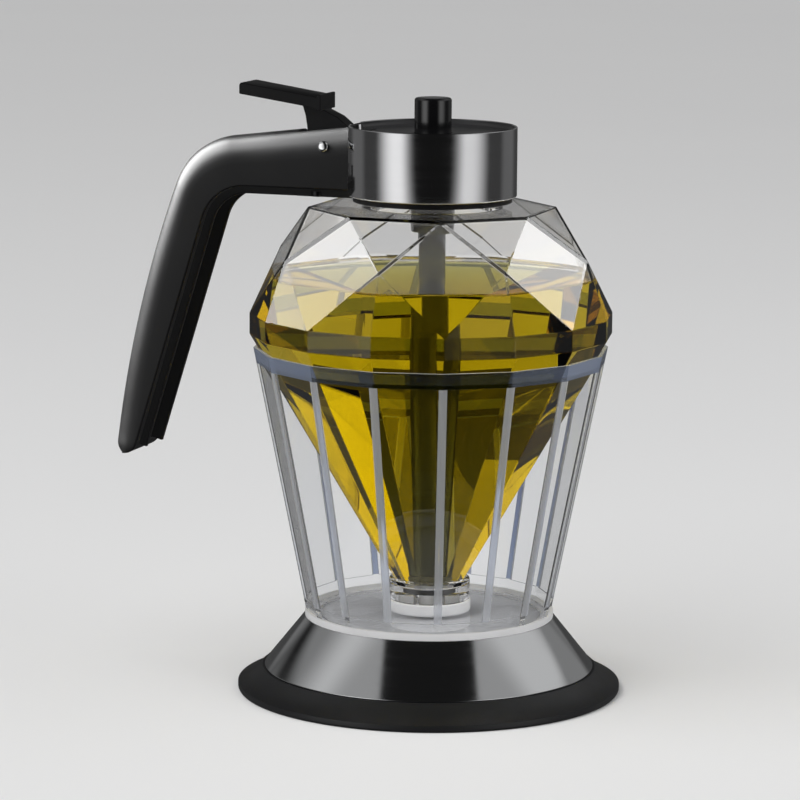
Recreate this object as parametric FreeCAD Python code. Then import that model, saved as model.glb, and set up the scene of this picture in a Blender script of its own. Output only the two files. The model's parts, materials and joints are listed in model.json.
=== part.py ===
"""Honey dispenser: a faceted jar with a thumb-operated valve, standing in a clear holder.

Millimetres, +Z up.  The origin lies on the dispenser's vertical axis, on the table.
The handle points along -X, so the XZ plane is the plane of the handle and the lever.
Each function builds one piece and main() writes every piece to parts/NODE.step.
"""

import FreeCAD, Part
import math
import os

V = FreeCAD.Vector
UP = V(0, 0, 1)
ACROSS = V(0, 1, 0)

# ---------------------------------------------------------------- stand
FOOT_R = 44.5
FOOT_H = 5.4
FOOT_LIP = 1.6
FOOT_HOLE_R = 31.0
FOOT_WEB = 1.2
FOOT_EDGE = 0.6
FOOT_HOLLOW = 0.35
SKIRT_BOTTOM_R = 38.5
SKIRT_TOP_R = 28.9
SKIRT_H = 12.0
SKIRT_WALL = 1.2
CORE_WALL = 2.6
CORE_PLATE = 2.0
CORE_RIM_W = 5.1
PLATE_RECESS = 1.0
PLATE_THICK = 2.0
SEAT_RING_H = 1.6
SEAT_RING_EDGE = 0.3
SEAT_FLANGE = 0.5
FLOOR_FIT = 0.1
BASE_SCREW_COUNT = 3
BASE_SCREW_PCR = 18.0
BASE_SCREW_R = 1.25
BASE_SCREW_HEAD_R = 2.4
BASE_SCREW_HEAD_H = 1.5
BASE_BOSS_WALL = 1.95
BASE_SCREW_BITE = 3.4

# ---------------------------------------------------------------- clear holder
SIDES = 16
HOLDER_RIM_R = 41.0
HOLDER_H = 62.4
HOLDER_SPREAD = 0.2
HOLDER_WALL = 2.0
HOLDER_FLOOR = 1.9
HOLDER_FLOOR_R = 25.0
HOLDER_BAND = 3.6
PANEL_DEPTH = 0.45
RIB_W = 1.9
PANEL_FOOT = 2.2

# ---------------------------------------------------------------- faceted jar
GIRDLE_R = 41.9
GIRDLE_OVER_RIM = 3.2
GIRDLE_H = 4.8
CROWN_H = 24.5
CROWN_MID_R = 37.2
TABLE_R = 28.5
JAR_WALL = 2.4
TIP_R = 4.0
TIP_DROP = 2.1
NECK_R = 16.1
NECK_H = 5.1
NECK_BORE_R = 13.4
NOZZLE_R = 9.3
NOZZLE_H = 8.0
NOZZLE_LIP = 1.0
CONE_TIP_R = 7.8
CONE_TIP_DROP = 1.0
SPIGOT_R = 7.0
SPIGOT_RECESS = 0.6
SPIGOT_WALL = 1.2
OUTLET_TUBE_R = 4.6
OUTLET_R = 2.4
NOZZLE_HOLLOW = 1.6
SEAT_WASHER_H = 1.4
SEAT_WASHER_DROP = 0.1
RING_R = 9.5
RING_H = 2.8
RING_EDGE = 0.4
RING_FLOOR_GAP = 0.3
SEAT_GAP = 0.08
HONEY_OVER_GIRDLE = 8.2

# ---------------------------------------------------------------- neck thread
THREAD_PITCH = 2.0
THREAD_DEPTH = 0.8
THREAD_ROOT_W = 1.0
THREAD_CREST_W = 0.5
THREAD_CLEAR = 0.2
THREAD_SINK = 0.25
MALE_START = 2.1
MALE_TURNS = 1.0
FEMALE_TURNS = 1.0

# ---------------------------------------------------------------- lid
COLLAR_R = 18.3
COLLAR_SHOWN = 1.25
LID_GAP_Z = 1.3
GASKET_T = 0.9
GASKET_LIP = 0.4
DECK_T = 1.4
CHAMBER_H = 8.4
LID_R = 18.8
COVER_GAP = 0.05
COVER_WALL = 0.5
PLATE_T = 1.2
RIM_H = 1.5
RIM_IN = 1.1
RIM_ROUND = 0.4
SLOT_W = 6.2
PLATE_SLOT_R = 14.4

# ---------------------------------------------------------------- valve rod
ROD_R = 3.1
STEM_R = 2.2
RUN = 0.08
SHOULDER_DROP = 3.2
COLLAR_ROD_R = 3.8
COLLAR_ROD_H = 0.7
PLUG_R = 3.4
PLUG_H = 4.1
PLUG_CHAMFER = 0.8
PLUG_SEAT_GAP = 0.05
PLUG_STUB_R = 2.0
PLUG_STUB_H = 2.6
KNOB_R = 4.26
KNOB_H = 8.0
KNOB_ROOF = 4.3
KNOB_ROUND = 0.6
LIFT = 5.05
HONEY_CLEAR = 0.12
HONEY_SPARE = 0.6

# ---------------------------------------------------------------- guide sleeve
SLEEVE_FLANGE_R = 9.0
SLEEVE_FLANGE_T = 1.6
SLEEVE_TOP_R = 5.6
SLEEVE_LOW_R = 4.7
SLEEVE_L = 12.0
SLEEVE_BORE_R = 4.0
SLEEVE_SPIGOT_R = 6.5
SPRING_SEAT_DROP = 1.2
BUSH_H = 1.5
SPRING_R = 3.1
SPRING_WIRE_R = 0.3
SPRING_WIRE_SIDES = 8
SPRING_COILS = 5
SPRING_END_GAP = 0.02

# ---------------------------------------------------------------- handle
HANDLE_W = 15.0
HANDLE_WALL = 2.0
HANDLE_WEB = 2.2
HANDLE_BACK_ROUND = 4.4
ARM_TOP_DROP = 0.2
ARM_H = 13.2
ARM_TOP_FALL = 0.075
HANDLE_REACH = 39.15
BACK_BEND_R = 17.0
LEG_START_ANGLE = 20.5
LEG_BOW_R = 276.0
ARM_TO_LEG = 7.1
INNER_BEND_R = 11.0
LEG_INNER_ANGLE = 17.3
LEG_H = 64.8
TIP_ROUND = 2.6
TIP_WALL = 2.0
TIP_SPARE = 6.0
LINER_STAND_OUT = 1.9
LINER_WALL = 1.4
LINER_DEPTH = 3.4
LINER_FIT = 0.1
LINER_SHORT = 9.4
ROOT_GAP = 0.1

# ---------------------------------------------------------------- tongue and its screws
TONGUE_L = 11.85
TONGUE_T = 3.4
TONGUE_SCREW_OUT = 7.05
HANDLE_BOSS_R = 1.6
HANDLE_BOSS_H = 4.3
HANDLE_BOSS_BITE = 0.3
HANDLE_SCREW_R = 0.9
HANDLE_SCREW_BITE = 3.5
HANDLE_SCREW_HEAD_R = 1.7
HANDLE_SCREW_HEAD_H = 1.2

# ---------------------------------------------------------------- lever and pin
PIVOT_OUT = 4.75
PIVOT_DROP = 3.3
PIN_R = 1.0
PIN_HEAD_R = 1.25
PIN_HEAD_SINK = 0.6
PIN_STAND_OUT = 0.35
PIN_HEAD_ROUND = 0.45
PIVOT_BOSS_R = 2.5
LEVER_BOSS_R = 2.3
LEVER_SIDE_GAP = 0.25
STEM_W = 5.0
PAD_W = 10.0
PAD_T = 2.6
PAD_L = 19.7
PAD_TIP_RISE = 10.5
PAD_FALL = 0.147
STOP_OUT = 1.5
STOP_T = 0.9
STOP_TOP_RISE = 8.3
STOP_LOW_RISE = 4.6
FORK_TIP_R = 1.2
FORK_GAP_Z = 0.3
FORK_PRONG_W = 1.6
FORK_SLOT_GAP = 0.3
FORK_BRIDGE = 2.4
FORK_BACK = 2.0
TOP_SLOT_L = 12.45

# ---------------------------------------------------------------- worked out from the above
SKIRT_BOTTOM_Z = FOOT_H
SKIRT_TOP_Z = FOOT_H + SKIRT_H
CORE_TOP_Z = SKIRT_TOP_Z - PLATE_RECESS - PLATE_THICK
HOLDER_LOW_Z = SKIRT_TOP_Z + SEAT_FLANGE
HOLDER_RIM_Z = HOLDER_LOW_Z + HOLDER_H
HOLDER_FLOOR_LOW_Z = SKIRT_TOP_Z - PLATE_RECESS
HOLDER_FLOOR_TOP_Z = HOLDER_FLOOR_LOW_Z + HOLDER_FLOOR
NOZZLE_LOW_Z = HOLDER_FLOOR_TOP_Z + RING_FLOOR_GAP
NOZZLE_SPLIT_Z = NOZZLE_LOW_Z + RING_H
NOZZLE_TOP_Z = NOZZLE_LOW_Z + NOZZLE_H
TIP_Z = NOZZLE_TOP_Z - TIP_DROP
CONE_TIP_Z = NOZZLE_TOP_Z - CONE_TIP_DROP
GIRDLE_LOW_Z = HOLDER_RIM_Z + GIRDLE_OVER_RIM
GIRDLE_HIGH_Z = GIRDLE_LOW_Z + GIRDLE_H
CONE_SLOPE = (GIRDLE_R - CONE_TIP_R) / (GIRDLE_LOW_Z - CONE_TIP_Z)
TABLE_Z = GIRDLE_HIGH_Z + CROWN_H
HONEY_LEVEL_Z = GIRDLE_HIGH_Z + HONEY_OVER_GIRDLE
NECK_TOP_Z = TABLE_Z + NECK_H
DECK_LOW_Z = NECK_TOP_Z + GASKET_T
DECK_TOP_Z = DECK_LOW_Z + DECK_T
CHAMBER_TOP_Z = DECK_TOP_Z + CHAMBER_H
PLATE_TOP_Z = CHAMBER_TOP_Z + PLATE_T
COLLAR_LOW_Z = TABLE_Z + LID_GAP_Z
COVER_BOTTOM_Z = COLLAR_LOW_Z + COLLAR_SHOWN
LID_BORE_R = NECK_R + THREAD_DEPTH + THREAD_CLEAR
COVER_R = LID_R + COVER_GAP + COVER_WALL
THREAD_RISE = THREAD_PITCH
SHOULDER_Z = TABLE_Z - SHOULDER_DROP
SPRING_SEAT_Z = DECK_LOW_Z - SPRING_SEAT_DROP
SLEEVE_LOW_Z = DECK_LOW_Z - SLEEVE_L
PLUG_LOW_Z = TIP_Z - PLUG_SEAT_GAP
PLUG_TOP_Z = PLUG_LOW_Z + PLUG_H
KNOB_TOP_Z = PLATE_TOP_Z + KNOB_H
FORK_TOP_Z = CHAMBER_TOP_Z - LIFT - 2 * FORK_GAP_Z
KNOB_LOW_Z = FORK_TOP_Z + FORK_GAP_Z
ARM_TOP_Z = PLATE_TOP_Z - ARM_TOP_DROP
ARM_EDGE_Z = ARM_TOP_Z - ARM_H
LEG_TIP_Z = ARM_EDGE_Z - LEG_H
LINER_END_Z = LEG_TIP_Z + LINER_SHORT
BACK_CORNER_X = -COVER_R - HANDLE_REACH
INNER_CORNER_X = BACK_CORNER_X + ARM_TO_LEG
TONGUE_LOW_Z = ARM_EDGE_Z - LINER_STAND_OUT
TONGUE_TOP_Z = TONGUE_LOW_Z + TONGUE_T
TONGUE_END_X = -COVER_R - TONGUE_L
TONGUE_SCREW_X = -COVER_R - TONGUE_SCREW_OUT
TONGUE_SCREW_Y = HANDLE_W / 2 - HANDLE_WALL - HANDLE_BOSS_R + HANDLE_BOSS_BITE
HANDLE_BOSS_TOP_Z = TONGUE_TOP_Z + HANDLE_BOSS_H
HANDLE_SCREW_TOP_Z = TONGUE_TOP_Z + HANDLE_SCREW_BITE
PIVOT_X = -COVER_R - PIVOT_OUT
PIVOT_Z = ARM_TOP_Z - PIVOT_DROP
STOP_X = PIVOT_X - STOP_OUT
STOP_TOP_Z = ARM_TOP_Z + STOP_TOP_RISE
STOP_LOW_Z = ARM_TOP_Z + STOP_LOW_RISE
PAD_TIP_X = STOP_X - PAD_L
PAD_TIP_Z = ARM_TOP_Z + PAD_TIP_RISE
TOP_SLOT_END_X = -COVER_R - TOP_SLOT_L


# ---------------------------------------------------------------- helpers
def revolve(points):
    """Turn a closed (r, z) outline once about the Z axis."""
    wire = Part.makePolygon([V(r, 0, z) for r, z in points + points[:1]])
    return Part.Face(wire).revolve(V(0, 0, 0), UP, 360)


def tube(r_out, r_in, low, high):
    """Round tube between two heights."""
    body = Part.makeCylinder(r_out, high - low, V(0, 0, low))
    return body.cut(Part.makeCylinder(r_in, high - low + 2, V(0, 0, low - 1)))


def cylinder(r, low, high, x=0.0, y=0.0):
    """Upright cylinder between two heights."""
    return Part.makeCylinder(r, high - low, V(x, y, low))


def block(x0, x1, y0, y1, z0, z1):
    """Box between six coordinates."""
    return Part.makeBox(x1 - x0, y1 - y0, z1 - z0, V(x0, y0, z0))


def side_prism(points, width):
    """Push an (x, z) outline out to both sides of the XZ plane."""
    corners = [V(x, -width / 2, z) for x, z in points]
    wire = Part.makePolygon(corners + corners[:1])
    return Part.Face(wire).extrude(V(0, width, 0))


def fuse(*pieces):
    """Join pieces and drop the seams between coplanar faces."""
    return pieces[0].multiFuse(list(pieces[1:])).removeSplitter()


def polar(r, degrees, z):
    """Point at a radius, an angle from +X and a height."""
    a = math.radians(degrees)
    return V(r * math.cos(a), r * math.sin(a), z)


def polygon_ring(r, z, count=SIDES, start=0.0):
    """Corners of a regular polygon at one height."""
    return [polar(r, start + i * 360.0 / count, z) for i in range(count)]


def stack(rings):
    """Closed solid through regular polygons of equal count, one above the other."""
    faces = [Part.Face(Part.makePolygon(rings[0] + rings[0][:1]))]
    faces.append(Part.Face(Part.makePolygon(rings[-1] + rings[-1][:1])))
    for low, high in zip(rings, rings[1:]):
        for i in range(len(low)):
            j = (i + 1) % len(low)
            corners = [low[i], low[j], high[j], high[i], low[i]]
            faces.append(Part.Face(Part.makePolygon(corners)))
    return Part.Solid(Part.Shell(faces))


def line_from(point, degrees_down, reach):
    """Point at a distance along a line that falls towards -X at an angle below level."""
    a = math.radians(degrees_down)
    return (point[0] - reach * math.cos(a), point[1] - reach * math.sin(a))


# ---------------------------------------------------------------- stand
def skirt_r(z):
    """Outer radius of the skirt's cone at a height."""
    share = (z - SKIRT_BOTTOM_Z) / (SKIRT_TOP_Z - SKIRT_BOTTOM_Z)
    return SKIRT_BOTTOM_R + share * (SKIRT_TOP_R - SKIRT_BOTTOM_R)


def make_foot_ring():
    """Rubber ring that the dispenser stands on, with a thin web that closes it below."""
    shoulder = SKIRT_BOTTOM_R + FOOT_HOLLOW * (FOOT_R - SKIRT_BOTTOM_R)
    mid_z = FOOT_H - FOOT_HOLLOW * (FOOT_H - FOOT_LIP)
    return revolve([
        (0, 0),
        (FOOT_R - FOOT_EDGE, 0),
        (FOOT_R, FOOT_EDGE),
        (FOOT_R, FOOT_LIP),
        (shoulder, mid_z),
        (SKIRT_BOTTOM_R, SKIRT_BOTTOM_Z),
        (FOOT_HOLE_R, SKIRT_BOTTOM_Z),
        (FOOT_HOLE_R, FOOT_WEB),
        (0, FOOT_WEB),
    ])


def make_base_skirt():
    """Spun metal cone."""
    return revolve([
        (SKIRT_BOTTOM_R, SKIRT_BOTTOM_Z),
        (SKIRT_TOP_R, SKIRT_TOP_Z),
        (SKIRT_TOP_R - SKIRT_WALL, SKIRT_TOP_Z),
        (SKIRT_BOTTOM_R - SKIRT_WALL, SKIRT_BOTTOM_Z),
    ])


def base_screw_places():
    """Angles of the base screws."""
    return [i * 360.0 / BASE_SCREW_COUNT for i in range(BASE_SCREW_COUNT)]


def make_base_core():
    """Moulded core under the skirt, with the screw plate."""
    low_r = SKIRT_BOTTOM_R - SKIRT_WALL
    plate_top = CORE_TOP_Z - CORE_PLATE
    plate_low = plate_top - CORE_PLATE
    wall_r = skirt_r(plate_low) - SKIRT_WALL - CORE_WALL
    rim_r = skirt_r(CORE_TOP_Z) - SKIRT_WALL - CORE_RIM_W
    core = revolve([
        (0, plate_low),
        (wall_r, plate_low),
        (low_r - CORE_WALL, SKIRT_BOTTOM_Z),
        (low_r, SKIRT_BOTTOM_Z),
        (skirt_r(CORE_TOP_Z) - SKIRT_WALL, CORE_TOP_Z),
        (rim_r, CORE_TOP_Z),
        (rim_r, plate_top),
        (0, plate_top),
    ])
    for angle in base_screw_places():
        p = polar(BASE_SCREW_PCR, angle, 0)
        core = core.cut(cylinder(BASE_SCREW_R, plate_low - 1, plate_top + 1, p.x, p.y))
    return core


def holder_outer():
    """Sixteen-sided outer shape of the holder."""
    return stack([
        polygon_ring(holder_corner_r(HOLDER_LOW_Z), HOLDER_LOW_Z),
        polygon_ring(HOLDER_RIM_R, HOLDER_RIM_Z),
    ])


def make_seat_plate():
    """Pale plate under the clear floor, with the raised ring round the holder's foot."""
    ring_top = SKIRT_TOP_Z + SEAT_RING_H
    inner_r = SKIRT_TOP_R - SKIRT_WALL
    plate = revolve([
        (0, CORE_TOP_Z),
        (inner_r, CORE_TOP_Z),
        (inner_r, SKIRT_TOP_Z),
        (SKIRT_TOP_R, SKIRT_TOP_Z),
        (SKIRT_TOP_R, ring_top - SEAT_RING_EDGE),
        (SKIRT_TOP_R - SEAT_RING_EDGE, ring_top),
        (HOLDER_FLOOR_R + FLOOR_FIT, ring_top),
        (HOLDER_FLOOR_R + FLOOR_FIT, HOLDER_FLOOR_LOW_Z),
        (0, HOLDER_FLOOR_LOW_Z),
    ])
    plate = plate.cut(holder_outer())
    boss_low = CORE_TOP_Z - CORE_PLATE
    for angle in base_screw_places():
        p = polar(BASE_SCREW_PCR, angle, 0)
        plate = plate.fuse(cylinder(BASE_SCREW_R + BASE_BOSS_WALL, boss_low, CORE_TOP_Z, p.x, p.y))
        plate = plate.cut(cylinder(BASE_SCREW_R, boss_low - 1, boss_low + BASE_SCREW_BITE, p.x, p.y))
    return plate.removeSplitter()


def make_base_screws():
    """Screws that pull the plate down on the core."""
    boss_low = CORE_TOP_Z - CORE_PLATE
    head_top = boss_low - CORE_PLATE
    screws = []
    for angle in base_screw_places():
        p = polar(BASE_SCREW_PCR, angle, 0)
        shank = cylinder(BASE_SCREW_R, head_top, boss_low + BASE_SCREW_BITE, p.x, p.y)
        head = cylinder(BASE_SCREW_HEAD_R, head_top - BASE_SCREW_HEAD_H, head_top, p.x, p.y)
        screws.append(fuse(shank, head))
    return Part.Compound(screws)


# ---------------------------------------------------------------- holder
def cone_r(z):
    """Corner radius of the jar's outer cone at a height."""
    return GIRDLE_R - CONE_SLOPE * (GIRDLE_LOW_Z - z)


def holder_corner_r(z):
    """Corner radius of the holder's outside at a height."""
    return HOLDER_RIM_R - HOLDER_SPREAD * (HOLDER_RIM_Z - z)


def make_holder_cup():
    """Clear sixteen-sided cup with a thick rim band and a rib at each corner."""
    seat_top_r = cone_r(HOLDER_RIM_Z) + SEAT_GAP
    wall_top_r = HOLDER_RIM_R - HOLDER_WALL
    drop = (seat_top_r - wall_top_r) / (CONE_SLOPE - HOLDER_SPREAD)
    seat_low_z = HOLDER_RIM_Z - drop
    inner = stack([
        polygon_ring(holder_corner_r(HOLDER_FLOOR_TOP_Z) - HOLDER_WALL, HOLDER_FLOOR_TOP_Z),
        polygon_ring(holder_corner_r(seat_low_z) - HOLDER_WALL, seat_low_z),
        polygon_ring(seat_top_r, HOLDER_RIM_Z),
        polygon_ring(seat_top_r + CONE_SLOPE * 2, HOLDER_RIM_Z + 2),
    ])
    floor = cylinder(HOLDER_FLOOR_R, HOLDER_FLOOR_LOW_Z, HOLDER_LOW_Z)
    cup = holder_outer().fuse(floor).cut(inner)
    half = 180.0 / SIDES
    low_z = SKIRT_TOP_Z + SEAT_RING_H + PANEL_FOOT
    high_z = HOLDER_RIM_Z - HOLDER_BAND
    for i in range(SIDES):
        angle = (i + 0.5) * 360.0 / SIDES
        cup = cup.cut(panel_pocket(angle, half, low_z, high_z))
    return cup.removeSplitter()


def panel_pocket(angle, half, low_z, high_z):
    """Shallow pocket in one flat face of the holder, between two ribs."""
    out = V(math.cos(math.radians(angle)), math.sin(math.radians(angle)), 0)
    side = V(-out.y, out.x, 0)
    corners = []
    for z, sign in ((low_z, -1), (low_z, 1), (high_z, 1), (high_z, -1)):
        flat_r = holder_corner_r(z) * math.cos(math.radians(half))
        reach = holder_corner_r(z) * math.sin(math.radians(half)) - RIB_W / 2
        corners.append(out * (flat_r - PANEL_DEPTH) + side * (sign * reach) + UP * z)
    face = Part.Face(Part.makePolygon(corners + corners[:1]))
    return face.extrude(out * (4 * PANEL_DEPTH))


# ---------------------------------------------------------------- jar
def brilliant(girdle_r, low_z, high_z, mid_r, table_r, table_z, tip_r, tip_z):
    """Brilliant-cut solid: cone, girdle, kites, stars, half facets and an eight-sided table."""
    step = 360.0 / SIDES
    tip = polygon_ring(tip_r, tip_z)
    low = polygon_ring(girdle_r, low_z)
    high = polygon_ring(girdle_r, high_z)
    kite_r = mid_r * math.cos(math.radians(step))
    mid_z = table_z - (kite_r - table_r) * (table_z - high_z) / (girdle_r - table_r)
    mid = polygon_ring(mid_r, mid_z, SIDES // 2, 0.0)
    table = polygon_ring(table_r, table_z, SIDES // 2, step)
    outlines = [tip, table]
    for i in range(SIDES):
        j = (i + 1) % SIDES
        outlines.append([tip[i], tip[j], low[j], low[i]])
        outlines.append([low[i], low[j], high[j], high[i]])
    for k in range(SIDES // 2):
        n = (k + 1) % (SIDES // 2)
        under_mid, under_table = high[2 * k], high[2 * k + 1]
        outlines.append([under_table, mid[n], table[k], mid[k]])
        outlines.append([under_mid, under_table, mid[k]])
        outlines.append([under_table, high[(2 * k + 2) % SIDES], mid[n]])
        outlines.append([table[k], mid[n], table[n]])
    faces = [Part.Face(Part.makePolygon(o + o[:1])) for o in outlines]
    return Part.Solid(Part.Shell(faces))


def wall_across():
    """Horizontal thickness of the cone's wall."""
    return JAR_WALL * math.hypot(1, CONE_SLOPE)


def jar_inside():
    """Inner hollow of the jar, one wall inside the facets."""
    girdle_r = GIRDLE_R - JAR_WALL
    cone_low_z = GIRDLE_LOW_Z - (GIRDLE_R - wall_across() - girdle_r) / CONE_SLOPE
    tip_z = cone_low_z - (girdle_r - TIP_R) / CONE_SLOPE
    return brilliant(
        girdle_r, cone_low_z, GIRDLE_HIGH_Z - 0.3 * JAR_WALL,
        CROWN_MID_R - JAR_WALL, TABLE_R - 0.9 * JAR_WALL, TABLE_Z - JAR_WALL,
        TIP_R, min(tip_z, TIP_Z),
    )


def thread_ridge(radius, start_z, turns, inward, start_angle):
    """Helical ridge on a neck (outward) or in a collar (inward)."""
    sign = -1 if inward else 1
    root = radius - sign * THREAD_SINK
    crest = radius + sign * THREAD_DEPTH
    half_root = THREAD_ROOT_W / 2
    half_crest = THREAD_CREST_W / 2
    profile = Part.makePolygon([
        V(root, 0, start_z - half_root),
        V(crest, 0, start_z - half_crest),
        V(crest, 0, start_z + half_crest),
        V(root, 0, start_z + half_root),
        V(root, 0, start_z - half_root),
    ])
    helix = Part.makeHelix(THREAD_PITCH, THREAD_PITCH * turns, radius)
    helix.translate(V(0, 0, start_z))
    ridge = Part.Wire(helix.Edges).makePipeShell([profile], True, True)
    ridge = Part.Solid(ridge) if ridge.ShapeType != "Solid" else ridge
    ridge.rotate(V(0, 0, 0), UP, start_angle)
    return ridge


def make_jar():
    """Clear faceted jar with a threaded neck and an outlet nozzle."""
    body = brilliant(
        GIRDLE_R, GIRDLE_LOW_Z, GIRDLE_HIGH_Z, CROWN_MID_R, TABLE_R, TABLE_Z,
        CONE_TIP_R, CONE_TIP_Z,
    )
    neck = cylinder(NECK_R, TABLE_Z - 1, NECK_TOP_Z)
    nozzle = revolve([
        (0, NOZZLE_SPLIT_Z),
        (NOZZLE_R, NOZZLE_SPLIT_Z),
        (NOZZLE_R, NOZZLE_TOP_Z - NOZZLE_LIP),
        (NOZZLE_R - 0.3 * NOZZLE_LIP, NOZZLE_TOP_Z - 0.3 * NOZZLE_LIP),
        (NOZZLE_R - NOZZLE_LIP, NOZZLE_TOP_Z),
        (0, NOZZLE_TOP_Z),
    ])
    spigot = cylinder(SPIGOT_R, NOZZLE_LOW_Z + SPIGOT_RECESS, NOZZLE_SPLIT_Z + SPIGOT_RECESS)
    jar = fuse(body, neck, nozzle, spigot)
    hollow = tube(SPIGOT_R - SPIGOT_WALL, OUTLET_TUBE_R, NOZZLE_LOW_Z, NOZZLE_SPLIT_Z + NOZZLE_HOLLOW)
    jar = jar.cut(hollow)
    jar = jar.cut(jar_inside())
    jar = jar.cut(cylinder(NECK_BORE_R, TABLE_Z - 2 * JAR_WALL, NECK_TOP_Z + 1))
    jar = jar.cut(cylinder(TIP_R, TIP_Z - SEAT_WASHER_H - SEAT_WASHER_DROP, TIP_Z + 0.5))
    jar = jar.cut(cylinder(OUTLET_R, NOZZLE_LOW_Z - 1, TIP_Z))
    start = TABLE_Z + MALE_START
    return jar.fuse(thread_ridge(NECK_R, start, MALE_TURNS, False, 0.0))


def make_outlet_seat():
    """Soft washer that the plug closes on."""
    low = TIP_Z - SEAT_WASHER_H - SEAT_WASHER_DROP
    return tube(TIP_R, OUTLET_R, low, low + SEAT_WASHER_H)


def make_nozzle_ring():
    """Pale ring pressed on the nozzle's spigot."""
    ring = tube(RING_R, SPIGOT_R, NOZZLE_LOW_Z, NOZZLE_SPLIT_Z)
    rim = [e for e in ring.Edges if abs(e.BoundBox.XMax - RING_R) < 0.01 and e.BoundBox.ZLength < 0.01]
    return ring.makeChamfer(RING_EDGE, rim)


def make_honey():
    """The filling, up to its level, with room for the rod and the lifted plug."""
    slab = block(-GIRDLE_R, GIRDLE_R, -GIRDLE_R, GIRDLE_R, TIP_Z, HONEY_LEVEL_Z)
    honey = jar_inside().common(slab)
    free_z = PLUG_TOP_Z + LIFT + THREAD_RISE + HONEY_SPARE
    honey = honey.cut(cylinder(PLUG_R + HONEY_CLEAR, TIP_Z - 1, free_z))
    return honey.cut(cylinder(ROD_R + HONEY_CLEAR, TIP_Z - 1, HONEY_LEVEL_Z + 1))


# ---------------------------------------------------------------- lid
def make_lid_gasket():
    """Flat ring between the neck and the lid's deck."""
    return tube(NECK_R + GASKET_LIP, NECK_BORE_R, NECK_TOP_Z, DECK_LOW_Z)


def make_lid_body():
    """Moulded lid: threaded collar, deck, chamber wall and the tongue under the handle."""
    body = revolve([
        (SLEEVE_SPIGOT_R, DECK_LOW_Z),
        (LID_BORE_R, DECK_LOW_Z),
        (LID_BORE_R, COLLAR_LOW_Z),
        (COLLAR_R, COLLAR_LOW_Z),
        (COLLAR_R, COVER_BOTTOM_Z),
        (LID_R, COVER_BOTTOM_Z),
        (LID_R, CHAMBER_TOP_Z),
        (LID_BORE_R, CHAMBER_TOP_Z),
        (LID_BORE_R, DECK_TOP_Z),
        (SLEEVE_SPIGOT_R, DECK_TOP_Z),
    ])
    window = block(-LID_R - 1, -LID_BORE_R + 1, -SLOT_W / 2, SLOT_W / 2, DECK_TOP_Z, CHAMBER_TOP_Z + 1)
    half = HANDLE_W / 2 - HANDLE_WALL - LINER_FIT
    tongue = block(TONGUE_END_X, -LID_BORE_R - 0.3, -half, half, TONGUE_LOW_Z, TONGUE_TOP_Z)
    tongue = tongue.cut(cylinder(LID_BORE_R, TONGUE_LOW_Z - 1, TONGUE_TOP_Z + 1))
    body = fuse(body.cut(window), tongue)
    for y in (-TONGUE_SCREW_Y, TONGUE_SCREW_Y):
        x = TONGUE_SCREW_X
        body = body.cut(cylinder(HANDLE_SCREW_R, TONGUE_LOW_Z - 1, TONGUE_TOP_Z + 1, x, y))
        sink = TONGUE_LOW_Z + HANDLE_SCREW_HEAD_H
        body = body.cut(cylinder(HANDLE_SCREW_HEAD_R, TONGUE_LOW_Z - 1, sink, x, y))
    half_pitch = THREAD_PITCH / 2
    low_start = TABLE_Z + MALE_START + half_pitch - 0.5 * THREAD_PITCH * FEMALE_TURNS
    ridge = thread_ridge(LID_BORE_R, low_start, FEMALE_TURNS, True, -180.0 * FEMALE_TURNS)
    return body.fuse(ridge)


def make_lid_cover():
    """Polished metal cover with a rolled rim, open where the handle joins."""
    inner = LID_R + COVER_GAP
    rim_top = PLATE_TOP_Z + RIM_H
    cover = revolve([
        (inner, COVER_BOTTOM_Z),
        (COVER_R, COVER_BOTTOM_Z),
        (COVER_R, rim_top - RIM_ROUND),
        (COVER_R - 0.3 * RIM_ROUND, rim_top - 0.3 * RIM_ROUND),
        (COVER_R - RIM_ROUND, rim_top),
        (COVER_R - RIM_IN + RIM_ROUND / 2, rim_top),
        (COVER_R - RIM_IN, rim_top - RIM_ROUND / 2),
        (COVER_R - RIM_IN, PLATE_TOP_Z),
        (inner, PLATE_TOP_Z),
    ])
    half = SLOT_W / 2
    cover = cover.cut(block(-COVER_R - 1, -10, -half, half, DECK_TOP_Z, rim_top + 1))
    foot = HANDLE_W / 2 - HANDLE_WALL
    return cover.cut(block(-COVER_R - 1, -10, -foot, foot, COVER_BOTTOM_Z - 1, TONGUE_TOP_Z + LINER_FIT))


def make_top_plate():
    """Satin plate in the lid, with the knob's hole and the lever's slot."""
    plate = tube(LID_R, KNOB_R + RUN, CHAMBER_TOP_Z, PLATE_TOP_Z)
    half = SLOT_W / 2
    slot = block(-LID_R - 1, -PLATE_SLOT_R, -half, half, CHAMBER_TOP_Z - 1, PLATE_TOP_Z + 1)
    return plate.cut(slot)


def make_guide_sleeve():
    """Sleeve under the deck that holds the spring and guides the rod."""
    flange_low = DECK_LOW_Z - SLEEVE_FLANGE_T
    return revolve([
        (STEM_R + RUN, DECK_TOP_Z),
        (SLEEVE_SPIGOT_R, DECK_TOP_Z),
        (SLEEVE_SPIGOT_R, DECK_LOW_Z),
        (SLEEVE_FLANGE_R, DECK_LOW_Z),
        (SLEEVE_FLANGE_R, flange_low),
        (SLEEVE_TOP_R, flange_low),
        (SLEEVE_LOW_R, SLEEVE_LOW_Z),
        (SLEEVE_BORE_R, SLEEVE_LOW_Z),
        (SLEEVE_BORE_R, SPRING_SEAT_Z),
        (STEM_R + RUN, SPRING_SEAT_Z),
    ])


def make_guide_bush():
    """Bush in the sleeve's mouth."""
    return tube(SLEEVE_BORE_R, ROD_R + RUN, SLEEVE_LOW_Z, SLEEVE_LOW_Z + BUSH_H)


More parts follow.
